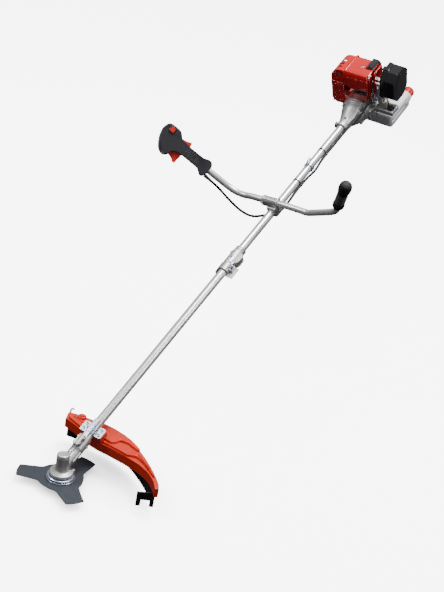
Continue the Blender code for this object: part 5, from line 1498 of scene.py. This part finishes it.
def finish_tank():
    low, high = reach("fuel_tank")
    end = 1.928
    tank = Piece("fuel_tank_moulding", block((low.x, low.y, low.z), (high.x, end, high.z), 0.014, 5))
    tank.unite(block((low.x - 0.0015, low.y + 0.004, -0.0850), (high.x + 0.0015, end - 0.003, -0.0825),
                     0.001))
    for x in (-0.075, -0.030):
        tank.cut(block((x, low.y + 0.035, high.z - 0.0040), (x + 0.030, end - 0.030, high.z + 0.01), 0.003))
    tank.cut(block((-0.080, low.y - 0.01, -0.105), (0.050, low.y + 0.0030, -0.090), 0.002))
    tank.unite(rod(0.0225, 1.885, high.y, 64, 0.001), Matrix.Translation((0.080, 0, -0.078)) @ ALONG)
    tank.unite(rod(0.0245, 1.885, end + 0.001, 64, 0.001), Matrix.Translation((0.080, 0, -0.078)) @ ALONG)
    tank.cut(rod(0.0140, 1.90, 1.95), Matrix.Translation((0.080, 0, -0.078)) @ ALONG)
    tank.soften(0.0012, 3, 40).mount("frame", "tank_plastic", "fuel_tank")
    low, high = reach("fuel_cap")
    seat = Matrix.Translation((0.080, 0, -0.078)) @ ALONG
    profile = [(0, high.y), (0.0110, high.y), (0.0120, high.y - 0.001), (0.0170, high.y - 0.001),
               (0.0195, high.y - 0.003), (0.0205, high.y - 0.007), (0.0205, high.y - 0.029),
               (0.0216, high.y - 0.030), (0.0216, high.y - 0.0330), (0.0125, high.y - 0.0330),
               (0.0125, low.y), (0, low.y)]
    Piece("tank_cap", lathe(profile, 96, 0.0012), SHAFT, seat).mount("cap", "gloss_red", "fuel_cap")
    rib = block((-0.0005, -0.0009, -0.0110), (0.0010, 0.0009, 0.0110), 0.0004, 1)
    round_pattern("tank_cap_ribs", rib, 36, 0.0204,
                  SHAFT @ seat @ Matrix.Translation((0, 0, high.y - 0.0180)),
                  "cap", "gloss_red")


# ---------------------------------------------------------------- carried-over pieces

CARRIED = {
    "bare_steel": ("lower_drive_shaft", "upper_drive_shaft", "bevel_pinion", "bevel_gear", "output_shaft",
                   "output_bearing", "clutch_drum", "clutch_rotor", "crankshaft", "muffler"),
    "cast_alloy": ("flywheel", "cylinder", "piston"),
    "black_rubber": ("lower_bush", "upper_bush"),
    "black_plastic": ("starter_pulley",),
    "zinc_steel": ("blade_nut",),
    "foam": ("air_filter_element",),
    "ceramic_white": ("spark_plug",),
}


def finish_carried():
    for finish, nodes in CARRIED.items():
        for node in nodes:
            piece = frame["nodes"][node]
            for place in piece.material_slots:
                place.material = FINISHES[finish]


# ---------------------------------------------------------------- studio

WORLD_LIGHT = 0.45
# Name, place, size and power of each area lamp
STUDIO_LAMPS = (("top_light", (0.3, 0.3, 4.2), 1.6, 330.0), ("key_light", (-2.4, -2.4, 3.2), 0.9, 70.0),
                ("edge_light", (3.4, 0.0, 2.0), 0.8, 40.0))


def make_studio():
    floor_height = cad_box[0][2] - 0.0008
    mesh = bmesh.new()
    bmesh.ops.create_grid(mesh, x_segments=1, y_segments=1, size=30)
    bmesh.ops.translate(mesh, vec=(0, 0, floor_height), verts=mesh.verts)
    floor = object_from("studio_floor", mesh, Matrix())
    pale = Finish("studio_white", Specular_IOR_Level=0.25)
    pale.feed("Base Color", pale.tint(pale.noise(0.8, 2.0), (0.93, 0.93, 0.94), (0.96, 0.96, 0.965)))
    pale.feed("Roughness", 0.6 + pale.noise(3.0, 2.0) * 0.1)
    # Painted contact shadow: an ambient occlusion node darkens the floor's glow under and beside the machine, in
    # place of shade cast by the lamps
    painted_contact_shadow = pale.material.node_tree.nodes.new("ShaderNodeAmbientOcclusion")
    painted_contact_shadow.inputs["Distance"].default_value = 0.16
    pale.material.node_tree.links.new(painted_contact_shadow.outputs["Color"], pale.shader.inputs["Emission Color"])
    pale.shader.inputs["Emission Strength"].default_value = 6.0
    floor.data.materials.append(pale.material)

    floor.visible_diffuse = False
    floor.visible_glossy = False

    # A bright dome overhead that darkens towards and below the horizon
    world = bpy.data.worlds.new("studio_sky")
    world.use_nodes = True
    nodes, links = world.node_tree.nodes, world.node_tree.links
    direction = nodes.new("ShaderNodeTexCoord")
    height = nodes.new("ShaderNodeSeparateXYZ")
    ramp = nodes.new("ShaderNodeValToRGB")
    ramp.color_ramp.elements[0].position = 0.36
    ramp.color_ramp.elements[0].color = (0.10, 0.10, 0.11, 1)
    ramp.color_ramp.elements[1].position = 0.92
    ramp.color_ramp.elements[1].color = (1.0, 1.0, 1.0, 1)
    links.new(direction.outputs["Generated"], height.inputs[0])
    scale = nodes.new("ShaderNodeMath")
    scale.operation = "MULTIPLY_ADD"
    scale.inputs[1].default_value = 0.5
    scale.inputs[2].default_value = 0.5
    links.new(height.outputs["Z"], scale.inputs[0])
    links.new(scale.outputs[0], ramp.inputs["Fac"])
    links.new(ramp.outputs["Color"], nodes["Background"].inputs["Color"])
    nodes["Background"].inputs["Strength"].default_value = WORLD_LIGHT
    bpy.context.scene.world = world

    target = Vector((0.0, -0.1, -0.2))
    for name, place, size, power in STUDIO_LAMPS:
        lamp = bpy.data.lights.new(name, "AREA")
        lamp.size = size
        lamp.energy = power
        holder = bpy.data.objects.new(name, lamp)
        bpy.context.scene.collection.objects.link(holder)
        holder.location = place
        holder.rotation_euler = (target - Vector(place)).to_track_quat("-Z", "Y").to_euler()

    camera = bpy.data.cameras.new("studio_camera")
    camera.sensor_width = 36.0
    camera.lens = 1100 / 592 * 36
    camera.clip_end = 100.0
    viewer = bpy.data.objects.new("studio_camera", camera)
    right = Vector((0.8260, 0.5372, 0.1706))
    above = Vector((-0.3597, 0.2694, 0.8933))
    turn = axes((0, 0, 0), right, above)
    viewer.matrix_world = Matrix.Translation((1.56, -3.30228, 1.10265)) @ turn
    bpy.context.scene.collection.objects.link(viewer)
    bpy.context.scene.camera = viewer


for make in (finish_tubes, finish_coupler, finish_gear_head, finish_blade, finish_guard, finish_bracket,
             finish_handlebar, finish_control_handle, finish_cable, finish_harness, finish_bell,
             finish_crankcase, finish_engine_cover, finish_muffler_cover, finish_filter, finish_carburettor,
             finish_starter, finish_tank, finish_carried, make_studio):
    make()
